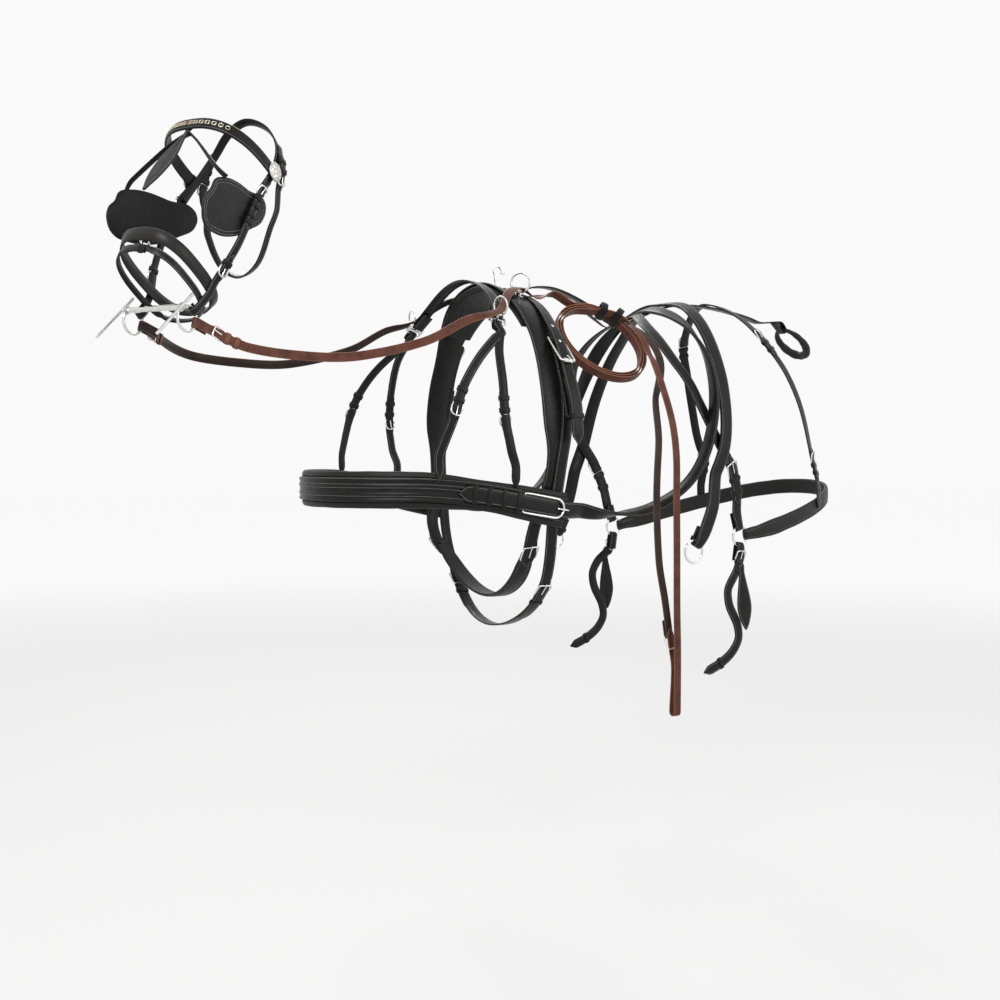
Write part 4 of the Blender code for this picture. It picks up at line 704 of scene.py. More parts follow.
for group, nodes in flat_straps.items():
    for node in nodes:
        read = belt_rows(node) if node == "back_strap" else facing_out(node, open_rows(node, 4))
        if node.endswith("_right"):
            start = lines[node[:-5] + "left"].under[0, 1:]
            first, last = (float(np.linalg.norm(read[k, 0, 1:] - start)) for k in (0, -1))
            read = read if first < last else read[::-1, [1, 0, 3, 2]]
        widest = max(widest, float(np.diff(run_of(read.mean(axis=1))).max()))
        line = lines[node] = Line(smoothed(read, strap_gap))
        skin, shares, found = strap_skin(line, groove=group != "rein")
        # The right rein's darker leather is painted shade.
        finish = {"rein_left": rein_leather, "rein_right": dark_rein_leather}.get(node, bridle_leather)
        slot = "brown_leather" if group == "rein" else "black_leather"
        show("strap_" + node, skin_mesh(node, skin, shares), finish, instead=(node,))
        if group != "rein":
            add_tracks(group, line, found)
print("flat straps", len(lines), "rings", sum(len(line.run) for line in lines.values()))
print("the CAD's rings are up to", round(widest / mm, 1), "mm apart")

# %% [markdown]
# ## The noseband and the lower nose strap
#
# They are closed loops, so their rings are found by their angle round the middle of the loop, and the side away
# from that middle is the outside.

# %% Nosebands
for node in ("noseband", "nose_strap"):
    rows = round_rows(node, 4)
    middle = rows.mean(axis=(0, 1))
    ordered = []
    for ring in rows:
        reach = np.linalg.norm(ring - middle, axis=1)
        inner = ring[np.argsort(reach)[:2]]
        outer = ring[np.argsort(reach)[2:]]
        inner = inner[np.argsort(inner @ face_way)]
        outer = outer[np.argsort(-(outer @ face_way))]
        ordered.append(np.concatenate((inner, outer)))
    rows = smoothed(np.array(ordered), strap_gap, closed=True)
    line = lines[node] = Line(rows)
    skin, shares, found = strap_skin(line)
    show("strap_" + node, skin_mesh(node, skin, shares, closed=True), bridle_leather,
         instead=(node,))
    for path in found:
        tracks["bridle"].append((np.concatenate((path, path[:1])), np.concatenate((line.out, line.out[:1]))))
print("noseband rings", len(lines["noseband"].run), "nose strap rings", len(lines["nose_strap"].run))

# %% [markdown]
# ## The padded pieces
#
# The saddle panel, breast collar, girth, breeching seat and crupper are leather over felt. Their CAD rings are
# kept, but a cubic goes round each ring too, which turns the few flat sides into full rolls and leaves the sewn
# channel near each edge. A slow wave of under a millimetre keeps the stuffing from looking moulded. A share from
# 0 to 1 says how tightly a piece is filled. The girth is shaped in the same way, but has no such share.

# %% Padded pieces
pads = {"saddle_panel": 0.7, "breast_pad": 0.75, "girth": None, "breeching_seat": 0.6}
pad_section = 13
roll_parts = 3
base_parts = 8


def rounded_rings(rows, keep_base=True):
    """Rings with more points, on a cubic round each; the long base side stays straight."""
    size = rows.shape[1]
    made = []
    for n in range(size):
        a, b, c, d = (rows[:, (n + k) % size] for k in (-1, 0, 1, 2))
        if keep_base and n == 0:
            made += [b * (1 - k / base_parts) + c * k / base_parts for k in range(base_parts)]
            continue
        if keep_base and n == 1:
            a = b
        if keep_base and n == size - 1:
            d = c
        for k in range(roll_parts):
            t = k / roll_parts
            made.append(0.5 * (2 * b + (c - a) * t + (2 * a - 5 * b + 4 * c - d) * t**2
                               + (3 * b - a - 3 * c + d) * t**3))
    return np.stack(made, axis=1)


def stuffed(rows, amount):
    """Rings moved out and in by a slow wave, as stuffing does."""
    middle = rows.mean(axis=1, keepdims=True)
    away = unit(rows - middle)
    wave = np.sin(rows[..., 0] * 61 + rows[..., 1] * 47) * np.sin(rows[..., 2] * 53 + rows[..., 1] * 31)
    return rows + away * (wave * amount)[..., None]


def pad_shares(rows):
    """The place of each point across a pad: 1 at a ring's first point and 0 half way round it."""
    size = rows.shape[1]
    return np.abs(np.linspace(-1, 1, size, endpoint=False))[None, :] * np.ones((len(rows), 1))


def channel_tracks(rows, picked):
    """The paths of the points of a ring that are sewn down, with the way out at each."""
    base = (rows[:, 0] + rows[:, 1]) / 2
    top = rows[:, len(rows[0]) // 2]
    return [(rows[:, n] + unit(top - base) * 0.3 * mm, unit(top - base)) for n in picked]


for node, fill in pads.items():
    rows = smoothed(open_rows(node, pad_section), pad_gap)
    tracks.setdefault("pads", []).extend(channel_tracks(rows, (5, 9)))
    skin = stuffed(rounded_rings(rows), 0.35 * mm)
    pad = show("pad_" + node, skin_mesh(node, skin, pad_shares(skin)), pad_leather,
               instead=(node,))
dock = smoothed(round_rows("crupper_dock", 8), 6 * mm, closed=True)
dock = rounded_rings(dock, keep_base=False)
pad = show("pad_crupper_dock", skin_mesh("crupper_dock", dock, pad_shares(dock), closed=True), pad_leather,
           instead=("crupper_dock",))
print("padded pieces", len(pads) + 1)

# %% [markdown]
# ## The raised layer and the browband
#
# The layer on the collar is ridged leather over cord, and the browband is a padded roll. Both get rounded rings
# as the pads do, but no wave.

# %% Raised layer and browband
layer_rows = smoothed(open_rows("breast_layer", 14), pad_gap)
tracks["collar"] += channel_tracks(layer_rows, (5, 8, 10, 13))
skin = rounded_rings(layer_rows)
show("breast_layer_skin", skin_mesh("breast_layer", skin, pad_shares(skin) * 0.9), bridle_leather,
     instead=("breast_layer",))
brow_rows = smoothed(open_rows("browband", 8), 6 * mm)
skin = rounded_rings(brow_rows)
show("browband_skin", skin_mesh("browband", skin, pad_shares(skin) * 0.9), bridle_leather,
     instead=("browband",))
tracks["bridle"] += channel_tracks(brow_rows, (3, 6))
print("layer rings", len(layer_rows), "browband rings", len(brow_rows))

# %% [markdown]
# ## The rolled stay
#
# The stay that holds the blinkers apart is two thin rolls side by side. A roll, and later each wire, is a round
# section carried along a path. On a closed path the twist that is left over is spread along it.


# %% Rolled stay
def tube_rows(path, radius, sides_count=10, closed=False):
    """Rings of a round wire along a path."""
    path = np.asarray(path, float)
    count = len(path)
    ahead = np.roll(path, -1, axis=0) if closed else path[np.minimum(np.arange(count) + 1, count - 1)]
    behind = np.roll(path, 1, axis=0) if closed else path[np.maximum(np.arange(count) - 1, 0)]
    tangent = unit(ahead - behind)
    side = np.cross(tangent[0], (0.31, 0.57, 0.76))
    ways = []
    for way in tangent:
        side = unit(side - way * (side @ way))
        ways.append(side)
    ways = np.array(ways)
    if closed:
        first = ways[0] - tangent[0] * (ways[0] @ tangent[0])
        last = unit(ways[-1] - tangent[0] * (ways[-1] @ tangent[0]))
        twist = math.atan2(float(np.cross(last, unit(first)) @ tangent[0]), float(last @ unit(first)))
    else:
        twist = 0.0
    other = np.cross(tangent, ways)
    turn = 2 * math.pi * np.arange(sides_count)[None, :] / sides_count
    turn = turn + (twist * np.arange(count) / count)[:, None]
    size = np.broadcast_to(radius, (count,))[:, None, None]
    return path[:, None] + size * (ways[:, None] * np.cos(turn)[..., None] + other[:, None] * np.sin(turn)[..., None])


def joined(name, parts):
    """One mesh out of several."""
    shape = bmesh.new()
    for part in parts:
        shape.from_mesh(part)
        bpy.data.meshes.remove(part)
    mesh = bpy.data.meshes.new(name)
    shape.to_mesh(mesh)
    shape.free()
    return mesh


def tube_mesh(path, radius, sides_count=10, closed=False):
    """A round wire along a path."""
    rows = tube_rows(path, radius, sides_count, closed)
    return skin_mesh("tube", rows, np.zeros((1, sides_count)), closed)


stay = smoothed(open_rows("blinker_stay", 8), 6 * mm)
stay_across = unit(stay[:, 0] - stay[:, 4])
rolls = [tube_mesh(stay.mean(axis=1) + stay_across * s * 2.6 * mm, 2.9 * mm) for s in (-1, 1)]
show("stay_rolls", joined("stay_rolls", rolls), bridle_leather, instead=("blinker_stay",))
print("stay rings", len(stay))

# %% [markdown]
# ## Rings
#
# A plain ring's middle, axis and radius are read from its CAD node, and a fine torus replaces it, on the same
# body, so it still turns on its joint.

# %% Rings
ring_nodes = [name + "_" + side for name in ("bit_ring", "breeching_ring", "trace_ring") for side, _ in sides]
for node in ring_nodes:
    spots, _ = merged(node)
    middle, ways = middle_and_ways(spots)
    radial = np.linalg.norm((spots - middle) - np.outer((spots - middle) @ ways[2], ways[2]), axis=1)
    radius = (radial.max() + radial.min()) / 2
    wire = (radial.max() - radial.min()) / 2
    path = middle + radius * circle(72, ways[0], ways[1])
    show("fine_" + node, tube_mesh(path, wire, 16, closed=True), steel, jointed[node], (node,))
print("rings", len(ring_nodes))

# %% [markdown]
# ## Cast and bent metal
#
# The terrets, the hook and the bit are castings: their CAD meshes are remeshed at under a millimetre and smoothed,
# which rounds them as polishing does. Frames and tongues are bent from wire, so theirs are subdivided instead.


# %% Cast and bent metal
def welded_copy(node):
    """A CAD node's mesh as a new object, its doubles merged and its pairs of triangles joined."""
    shape = bmesh.new()
    shape.from_mesh(frame["nodes"][node].data)
    bmesh.ops.remove_doubles(shape, verts=shape.verts, dist=weld)
    bmesh.ops.join_triangles(shape, faces=shape.faces, angle_face_threshold=0.5, angle_shape_threshold=1.2)
    bmesh.ops.recalc_face_normals(shape, faces=shape.faces)
    mesh = bpy.data.meshes.new(node)
    shape.to_mesh(mesh)
    shape.free()
    return in_scene("blank", mesh)


def taken(thing):
    """The object's mesh with its modifiers applied; the object goes."""
    graph = bpy.context.evaluated_depsgraph_get()
    mesh = bpy.data.meshes.new_from_object(thing.evaluated_get(graph))
    bpy.data.objects.remove(thing)
    mesh.shade_smooth()
    return mesh


def cast(node, voxel, rounds):
    """A casting's mesh, remeshed and rubbed smooth."""
    thing = welded_copy(node)
    grid = thing.modifiers.new("grid", "REMESH")
    grid.mode = "VOXEL"
    grid.voxel_size = voxel
    soften = thing.modifiers.new("soften", "SMOOTH")
    soften.factor = 0.5
    soften.iterations = rounds
    return taken(thing)


def bent(node):
    """The mesh of a piece bent from wire, subdivided."""
    thing = welded_copy(node)
    finer = thing.modifiers.new("finer", "SUBSURF")
    finer.levels = 2
    finer.render_levels = 2
    return taken(thing)


cast_nodes = {"terret_left": 0.7, "terret_right": 0.7, "bearing_hook": 0.7, "neck_terret_left": 0.7,
              "neck_terret_right": 0.7, "bit_mouthpiece": 0.8}
bent_nodes = ["tug_buckle_left", "tug_buckle_right", "trace_buckle_left", "trace_buckle_right", "rein_buckle",
              "tug_tongue_left", "tug_tongue_right", "trace_tongue_left", "trace_tongue_right"]
polish_rounds = 6
for node, voxel in cast_nodes.items():
    show("cast_" + node, cast(node, voxel * mm, polish_rounds), steel, jointed[node], (node,))
for node in bent_nodes:
    show("bent_" + node, bent(node), steel, jointed[node], (node,))
print("castings", len(cast_nodes), "bent pieces", len(bent_nodes))

# %% [markdown]
# ## One tree that lays things along a path
#
# Stitches, chain links and beads all repeat along a line. The tree takes a line of points that carry their way
# out, puts points on it at an even pitch, and sets a copy of a small piece on each, turned along the line and
# standing on its way out. It ends by making the copies real and giving them their material.


# %% The laying tree
def laying_tree():
    """The tree, with named inputs for the line, the pitch, the piece and its finish."""
    tree = bpy.data.node_groups.new("lay_along", "GeometryNodeTree")
    face = tree.interface
    for name, kind in (("Line", "Geometry"), ("Pitch", "Float"), ("Piece", "Object"), ("Finish", "Material")):
        face.new_socket(name, in_out="INPUT", socket_type="NodeSocket" + kind)
    face.new_socket("Laid", in_out="OUTPUT", socket_type="NodeSocketGeometry")
    add = tree.nodes.new
    given = add("NodeGroupInput")
    result = add("NodeGroupOutput")
    curve = add("GeometryNodeMeshToCurve")
    even = add("GeometryNodeResampleCurve")
    even.mode = "LENGTH"
    piece = add("GeometryNodeObjectInfo")
    copies = add("GeometryNodeInstanceOnPoints")
    tangent = add("GeometryNodeInputTangent")
    outward = add("GeometryNodeInputNamedAttribute")
    outward.data_type = "FLOAT_VECTOR"
    outward.inputs["Name"].default_value = "outward"
    along = add("FunctionNodeAlignRotationToVector")
    along.axis = "X"
    upright = add("FunctionNodeAlignRotationToVector")
    upright.axis = "Z"
    upright.pivot_axis = "X"
    real = add("GeometryNodeRealizeInstances")
    dress = add("GeometryNodeSetMaterial")
    for source, leaving, target, entering in (
            (given, "Line", curve, "Mesh"), (curve, "Curve", even, "Curve"), (given, "Pitch", even, "Length"),
            (even, "Curve", copies, "Points"), (given, "Piece", piece, "Object"),
            (piece, "Geometry", copies, "Instance"), (tangent, "Tangent", along, "Vector"),
            (along, "Rotation", upright, "Rotation"), (outward, "Attribute", upright, "Vector"),
            (upright, "Rotation", copies, "Rotation"), (copies, "Instances", real, "Geometry"),
            (real, "Geometry", dress, "Geometry"), (given, "Finish", dress, "Material"),
            (dress, "Geometry", result, "Laid")):
        tree.links.new(source.outputs[leaving], target.inputs[entering])
    return tree


lay_along = laying_tree()


def path_mesh(paths):
    """Lines of points with the way out at each, as edges only."""
    points = np.concatenate([path for path, _ in paths])
    outs = np.concatenate([np.broadcast_to(out, path.shape) for path, out in paths])
    edges = []
    start = 0
    for path, _ in paths:
        edges += [(start + k, start + k + 1) for k in range(len(path) - 1)]
        start += len(path)
    mesh = bpy.data.meshes.new("paths")
    mesh.from_pydata(points.tolist(), edges, [])
    way = mesh.attributes.new("outward", "FLOAT_VECTOR", "POINT")
    way.data.foreach_set("vector", outs.astype(np.float32).reshape(-1))
    return mesh


def laid(paths, pitch, piece, finish):
    """The mesh of copies of a piece along paths."""
    thing = in_scene("paths", path_mesh(paths))
    step = thing.modifiers.new("lay", "NODES")
    step.node_group = lay_along
    names = {item.name: item.identifier for item in lay_along.interface.items_tree if item.in_out == "INPUT"}
    step[names["Pitch"]] = pitch
    step[names["Piece"]] = piece
    step[names["Finish"]] = finish
    return taken(thing)


print("the tree has", len(lay_along.nodes), "nodes")

# %% [markdown]
# ## A stitch
#
# A stitch of waxed thread is a slim body with two pointed ends. There are thousands, so each has fifteen faces.
# It waits at the origin while the tree copies it, and is removed when the copying is done.


# %% A stitch
def lozenge(length, width, height, count=5):
    """A stitch: a slim body with two pointed ends."""
    turn = 2 * math.pi * np.arange(count) / count
    ring = np.stack((np.zeros(count), np.cos(turn) * width / 2, np.sin(turn) * height / 2), -1)
    ahead = np.array((length * 0.28, 0, 0))
    spots = [(-length / 2, 0, 0)] + (ring - ahead).tolist() + (ring + ahead).tolist() + [(length / 2, 0, 0)]
    faces = []
    for k in range(count):
        n = (k + 1) % count
        faces += [(0, 1 + n, 1 + k), (1 + k, 1 + n, 1 + count + n, 1 + count + k),
                  (1 + count + k, 1 + count + n, 1 + 2 * count)]
    mesh = bpy.data.meshes.new("stitch")
    mesh.from_pydata(spots, [], faces)
    return mesh


stitch_pitch = 4.6 * mm
stitch = in_scene("stitch", lozenge(3.7 * mm, 0.95 * mm, 0.8 * mm))
print("a stitch every", stitch_pitch / mm, "mm")

# %% [markdown]
# ## Blinkers and the face drop
#
# These are flat pieces of two layers of leather. The outline is the edge of the CAD plate's cap. Rings set in
# from it make a rolled rim, a sewn channel and a face that swells a little, and one or two rows of stitches
# follow the edge. A step of the rim is its distance from the edge in mm and its share of half the thickness.


# %% Plates
def plate_outline(node):
    """The outline of a flat node's middle, its way out and its half thickness."""
    spots, tris = merged(node)
    middle, ways = middle_and_ways(spots)
    normal = ways[2] * (1 if ways[2] @ (middle - poll * (0, 1, 1) - face_way * 0.15) > 0 else -1)
    normals = face_normals(spots, tris)
    cap = tris[normals @ normal > 0.7]
    edges = {}
    for tri in cap:
        for a, b in ((0, 1), (1, 2), (2, 0)):
            key = tuple(sorted((tri[a], tri[b])))
            edges[key] = edges.get(key, 0) + 1
    rim = [key for key, times in edges.items() if times == 1]
    near = [set() for _ in spots]
    for a, b in rim:
        near[a].add(b)
        near[b].add(a)
    walk = cycle({k for key in rim for k in key}, near)
    thick = float(np.abs((spots - middle) @ normal).max())
    return spots[walk] - normal * thick, normal, thick


def inset(outline, normal, distance):
    """An outline moved towards its own inside."""
    tangent = unit(np.roll(outline, -1, axis=0) - np.roll(outline, 1, axis=0))
    inward = np.cross(normal, tangent)
    if (inward * (outline.mean(axis=0) - outline)).sum() < 0:
        inward = -inward
    return outline + inward * distance


def finer_loop(points):
    """A closed line with more points, on a cubic through the given ones."""
    return rounded_rings(points[None], keep_base=False)[0]


def plate(node, swell, tracks_at, body, group):
    """Shows a plate for a CAD node of the same outline."""
    outline, normal, thick = plate_outline(node)
    dressed_plate(node, finer_loop(outline), normal, thick, swell, tracks_at, body, group, (node,))


rim_steps = ((0.0, 0.25), (0.6, 0.8), (2.2, 1.05), (3.6, 1.0), (4.6, 0.8), (6.0, 0.95))
rim_width = 7.5 * mm


def dressed_plate(node, outline, normal, thick, swell, tracks_at, body, group, instead=()):
    """Shows a plate with this outline; what it stands for is named last."""
    middle = outline.mean(axis=0)
    core = inset(outline, normal, rim_width) - middle
    rows = [middle + core * f + normal * (thick + swell * (1 - f * f)) for f in (0.02, 0.35, 0.65, 0.88, 1)]
    shares = [0.0, 0.3, 0.5, 0.6, 0.7]
    for distance, height in reversed(rim_steps):
        rows.append(inset(outline, normal, distance * mm) + normal * thick * height)
        shares.append(1 - distance / 30)
    for distance, height in rim_steps[:3]:
        rows.append(inset(outline, normal, distance * mm) - normal * thick * min(height, 1))
        shares.append(1 - distance / 30)
    rows += [middle + core * f - normal * thick for f in (1, 0.5, 0.02)]
    shares += [0.7, 0.4, 0.0]
    chart = np.array(shares)[:, None] * np.ones((1, len(outline)))
    show("plate_" + node, skin_mesh(node, np.array(rows), chart), bridle_leather, body, instead)
    for distance in tracks_at:
        path = inset(outline, normal, distance * mm) + normal * (thick + 0.25 * mm)
        tracks.setdefault(group, []).append((np.concatenate((path, path[:1])), normal))


for side, _ in sides:
    plate("blinker_" + side, 1.0 * mm, (4.6, 11.0), "harness", "blinkers")
plate("face_drop", 0.5 * mm, (3.8,), "face_drop", "drop")
print("plates", len(sides) + 1)

# %% [markdown]
# ## The safes of the holdbacks
#
# A safe is a leaf of leather that hangs from each holdback, just below its buckle. A row of its outline is a
# share of its length and the half width there in mm. It is sewn near its edge as the other plates are.

# %% Safes
safe_fall = np.array((0.006, 0.014, -0.168))
safe_thick = 1.6 * mm
safe_off = 4 * mm
safe_widths = ((0.0, 9), (0.12, 9), (0.3, 15), (0.5, 22), (0.68, 24), (0.84, 17), (0.94, 9), (1.0, 0))
safe_pixel = (747, 566)
safe_at = lines["holdback_left"].nearest(safe_pixel)
for side, sign in sides:
    safe_drop = safe_fall * (sign, 1, 1)
    outward = np.array((sign, 0, 0))
    top = lines["holdback_" + side].spot(safe_at, 0, safe_off) + outward * safe_off
    wide = unit(np.cross(safe_drop, outward))
    normal = unit(np.cross(wide, safe_drop))
    normal = normal * (1 if normal @ outward > 0 else -1)
    half = [top + safe_drop * share + wide * width * mm for share, width in safe_widths]
    other = [top + safe_drop * share - wide * width * mm for share, width in safe_widths[:-1]]
    outline = finer_loop(np.array(half + other[::-1]))
    dressed_plate("holdback_safe_" + side, outline, normal, safe_thick, 0.4 * mm, (3.6,), "harness", "rear")
print("safes", len(sides))

# %% [markdown]
# ## Rosettes
#
# A rosette is a turned silver disc with a plain rim, a ring of beads, eight shallow petals and a raised boss. The
# disc is a profile swept round its axis, whose rows are a reach and a height as shares of the whole. The petals
# are a wave round it that only shows in the middle rings.


# %% Rosettes
def bead_mesh(radius, around=8, along=5):
    """A small ball."""
    level = circle(around, (1, 0, 0), (0, 1, 0))
    turns = math.pi * (np.arange(along) + 0.5) / along
    rows = [radius * (level * math.sin(turn) + np.array((0, 0, math.cos(turn)))) for turn in turns]
    return skin_mesh("bead", np.array(rows), np.zeros((1, around)))


bead = in_scene("bead", bead_mesh(1.0 * mm))
petals = 8
disc_parts = 96
disc_profile = ((0.02, 0.02), (0.9, 0.02), (0.98, 0.1), (1.0, 0.3), (0.985, 0.46), (0.95, 0.5), (0.92, 0.42),
                (0.87, 0.40), (0.80, 0.42), (0.78, 0.52), (0.70, 0.64), (0.58, 0.76), (0.45, 0.84), (0.34, 0.84),
                (0.30, 0.78), (0.27, 0.86), (0.2, 0.96), (0.1, 1.0), (0.02, 1.0))
for side, _ in sides:
    node = "rosette_" + side
    spots, _ = merged(node)
    middle, ways = middle_and_ways(spots)
    outward = ways[2] * (1 if ways[2] @ (middle - poll) > 0 else -1)
    depth = (spots - middle) @ outward
    reach = np.linalg.norm((spots - middle) - np.outer(depth, outward), axis=1).max()
    low, high = depth.min(), depth.max()
    round_way = circle(disc_parts, ways[0], ways[1])
    wave = 0.09 * np.cos(petals * 2 * math.pi * np.arange(disc_parts) / disc_parts)
    rows = []
    for share, height in disc_profile:
        petal = wave * (1 if 0.4 < share < 0.79 and height > 0.5 else 0)
        rise = low + (high - low) * (height + petal)
        rows.append(middle + round_way * share * reach + np.multiply.outer(rise, outward))
    disc = skin_mesh(node, np.array(rows), np.zeros((1, disc_parts)))
    disc.materials.append(silver)
    ring = middle + round_way * 0.86 * reach + outward * (low + (high - low) * 0.46)
    beads = laid([(np.concatenate((ring, ring[:1])), outward)], 2.5 * mm, bead, silver)
    show("turned_" + node, joined(node, [disc, beads]), silver, "harness", (node,))
bpy.data.objects.remove(bead)
print("rosettes", len(sides))

# %% [markdown]
# ## The browband chain
#
# The chain on the browband is made of small square links, silver and gilt in turn, with one red stone. The tree
# lays each kind at twice the pitch, and the gilt ones start one pitch later. A link is a wire along a round-cornered
# frame, and the same frame makes the small buckles later.


# %% Browband chain
def squared_path(length, half, corner, count=5):
    """A round-cornered frame in its own plane, as (along, across), from the far bar at 0 to the heel at length."""
    path = []
    for x, y, start in ((corner, -half + corner, 180), (length - corner, -half + corner, 270),
                        (length - corner, half - corner, 0), (corner, half - corner, 90)):
        for k in range(count):
            turn = math.radians(start + 90 * k / (count - 1))
            path.append((x + corner * math.cos(turn), y + corner * math.sin(turn)))
    return path


chain_spots, _ = merged("browband_chain")
head_across = np.array((0.9063, 0.4226, 0))
reach_low, reach_high = (chain_spots @ head_across).min(), (chain_spots @ head_across).max()
base = (brow_rows[:, 0] + brow_rows[:, 1]) / 2
raise_way = unit(brow_rows[:, 4:6].mean(axis=1) - base)
tall = ((brow_rows - base[:, None]) * raise_way[:, None]).sum(axis=2).max(axis=1)
chain_path = base + raise_way * (tall + 0.9 * mm)[:, None]
inside = (chain_path @ head_across > reach_low) & (chain_path @ head_across < reach_high)
chain_path, chain_out = chain_path[inside], raise_way[inside]
chain_run = run_of(chain_path)
link_pitch = 7.2 * mm
link_half = 4.1 * mm
link_wire = 0.85 * mm
square = np.array(squared_path(2 * link_half, link_half, 1.6 * mm, 3)) - np.array((link_half, 0))
link = in_scene("link", tube_mesh(np.c_[square, np.zeros(len(square))], link_wire, 6, closed=True))
for start, finish, instead in ((0, silver, ("browband_chain",)), (link_pitch, gilt, ())):
    stops = np.arange(start, chain_run[-1], link_pitch)
    path, outs = (np.stack([np.interp(stops, chain_run, values[:, n]) for n in range(3)], axis=-1)
                  for values in (chain_path, chain_out))
    mesh = laid([(path, outs)], 2 * link_pitch, link, finish)
    show("chain_links_" + finish.name, mesh, finish, "harness", instead)
centre = len(chain_path) // 2
jewel = bead_mesh(3.0 * mm, 8, 4)
jewel.transform(Matrix.Translation(chain_path[centre] + chain_out[centre] * 0.8 * mm))
show("red_stone", jewel, stone)
bpy.data.objects.remove(link)
print("chain links along", round(chain_run[-1] / mm), "mm")

# %% [markdown]
# ## Rollers
#
# Each shaft tug buckle has a roller on its lower bar. It turns on its own joint, so it stays a piece of its own.

# %% Rollers
round_off = 0.7 * mm
for side, _ in sides:
    node = "tug_roller_" + side
    spots, _ = merged(node)
    middle, ways = middle_and_ways(spots)
    along = (spots - middle) @ ways[0]
    radial = np.linalg.norm((spots - middle) - np.outer(along, ways[0]), axis=1)
    half, outer, inner = np.abs(along).max(), radial.max(), radial.min()
    round_way = circle(40, ways[1], ways[2])
    profile = ((half, inner), (half, outer - round_off), (half - round_off, outer), (round_off - half, outer),
               (-half, outer - round_off), (-half, inner))
    rows = np.stack([middle + ways[0] * a + round_way * r for a, r in profile], axis=1)
    show("turned_" + node, skin_mesh(node, rows, np.zeros((1, len(profile))), closed=True), steel,
         jointed[node], (node,))
print("rollers", len(sides))

# %% [markdown]
# ## Billets and keepers
#
# A buckle on a strap is four things: billet, keepers, frame and tongue. The billet is the second layer, which
# comes through the frame and ends in a point, and the keepers are loops that hold it down. Both are laid along
# the strap's own frames, so they bend as it does.

# %% Billets and keepers
billet_thick = 2.6 * mm
buckle_wire = 1.9 * mm
keeper_wall = 1.7 * mm
keeper_long = 11 * mm
heaps = {"steel": [], "leather": [], "rein": [], "holes": []}


def along_rows(line, stops, half_at, low, thick):
    """Corners of a layer on a strap: stops are distances, half_at and low give its half width and its foot."""
    rows = []
    for k, s in enumerate(stops):
        under, _, across, out, _, base = line.at(s)
        half = half_at[k]
        foot = under + out * (base + low[k])
        rows.append((foot - across * half, foot + across * half, foot + across * half + out * thick,
                     foot - across * half + out * thick))
    return np.array(rows)


def billet(line, start, way, ramp, length, half, group, heap):
    """The layer that comes up out of a strap, runs on top of it and ends in a point."""
    count = max(int((ramp + length) / (5 * mm)), 4)
    steps = np.linspace(-ramp, length, count)
    tip = np.clip((steps - length) / (0.9 * half * 2) + 1, 0, 1)
    half_at = half * np.sqrt(np.maximum(1 - tip**2, 0.02))
    rise = np.clip((steps + ramp) / ramp, 0, 1) if ramp > 0 else np.ones(count)
    rise = rise * rise * (3 - 2 * rise)
    low = 0.15 * mm - (billet_thick + 0.6 * mm) * (1 - rise)
    rows = along_rows(line, start + way * steps, half_at, low, billet_thick)
    if way < 0:
        rows = rows[:, [1, 0, 3, 2]]
    top = Line(rows)
    skin, shares, found = strap_skin(top, side=3.0 * mm)
    heaps[heap].append(skin_mesh("billet", skin, shares))
    if group:
        add_tracks(group, top, found)


def keeper(line, s, half, top, heap="leather"):
    """A loop of leather round a strap and its billet."""
    under, tangent, across, out, _, thick = line.at(s)
    reach = half + 0.5 * mm
    low, high = -0.4 * mm, thick + top + 0.4 * mm
    corner = 1.2 * mm
    ring = []
    for x, z, start in ((reach, low, -90), (reach, high, 0), (-reach, high, 90), (-reach, low, 180)):
        cx = x - math.copysign(corner, x)
        cz = z + (corner if z < 0 else -corner)
        for k in range(3):
            turn = math.radians(start + 45 * k)
            ring.append(((cx + corner * math.cos(turn), cz + corner * math.sin(turn)),
                         (cx + (corner + keeper_wall) * math.cos(turn), cz + (corner + keeper_wall) * math.sin(turn))))
    rows = []
    for (x0, z0), (x1, z1) in ring:
        inner = under + across * x0 + out * z0
        outer = under + across * x1 + out * z1
        way = tangent * keeper_long / 2
        soft = (inner - outer) * 0.25
        rows.append((inner - way, inner + way, outer + way + soft, outer + way * 0.8, outer - way * 0.8,
                     outer - way + soft))
    heaps[heap].append(skin_mesh("keeper", np.array(rows), np.array(((0, 0, 0.9, 0.9, 0.9, 0.9),)), closed=True))


print("billets are", billet_thick / mm, "mm thick")

# %% [markdown]
# ## Buckles, holes and rivets
#
# The frame has its far bar over the billet and its heel bar inside the fold. The tongue comes out of a hole in the
# billet and rests on the far bar. A hole is a dark disc, because a real one would be cut through every mesh.


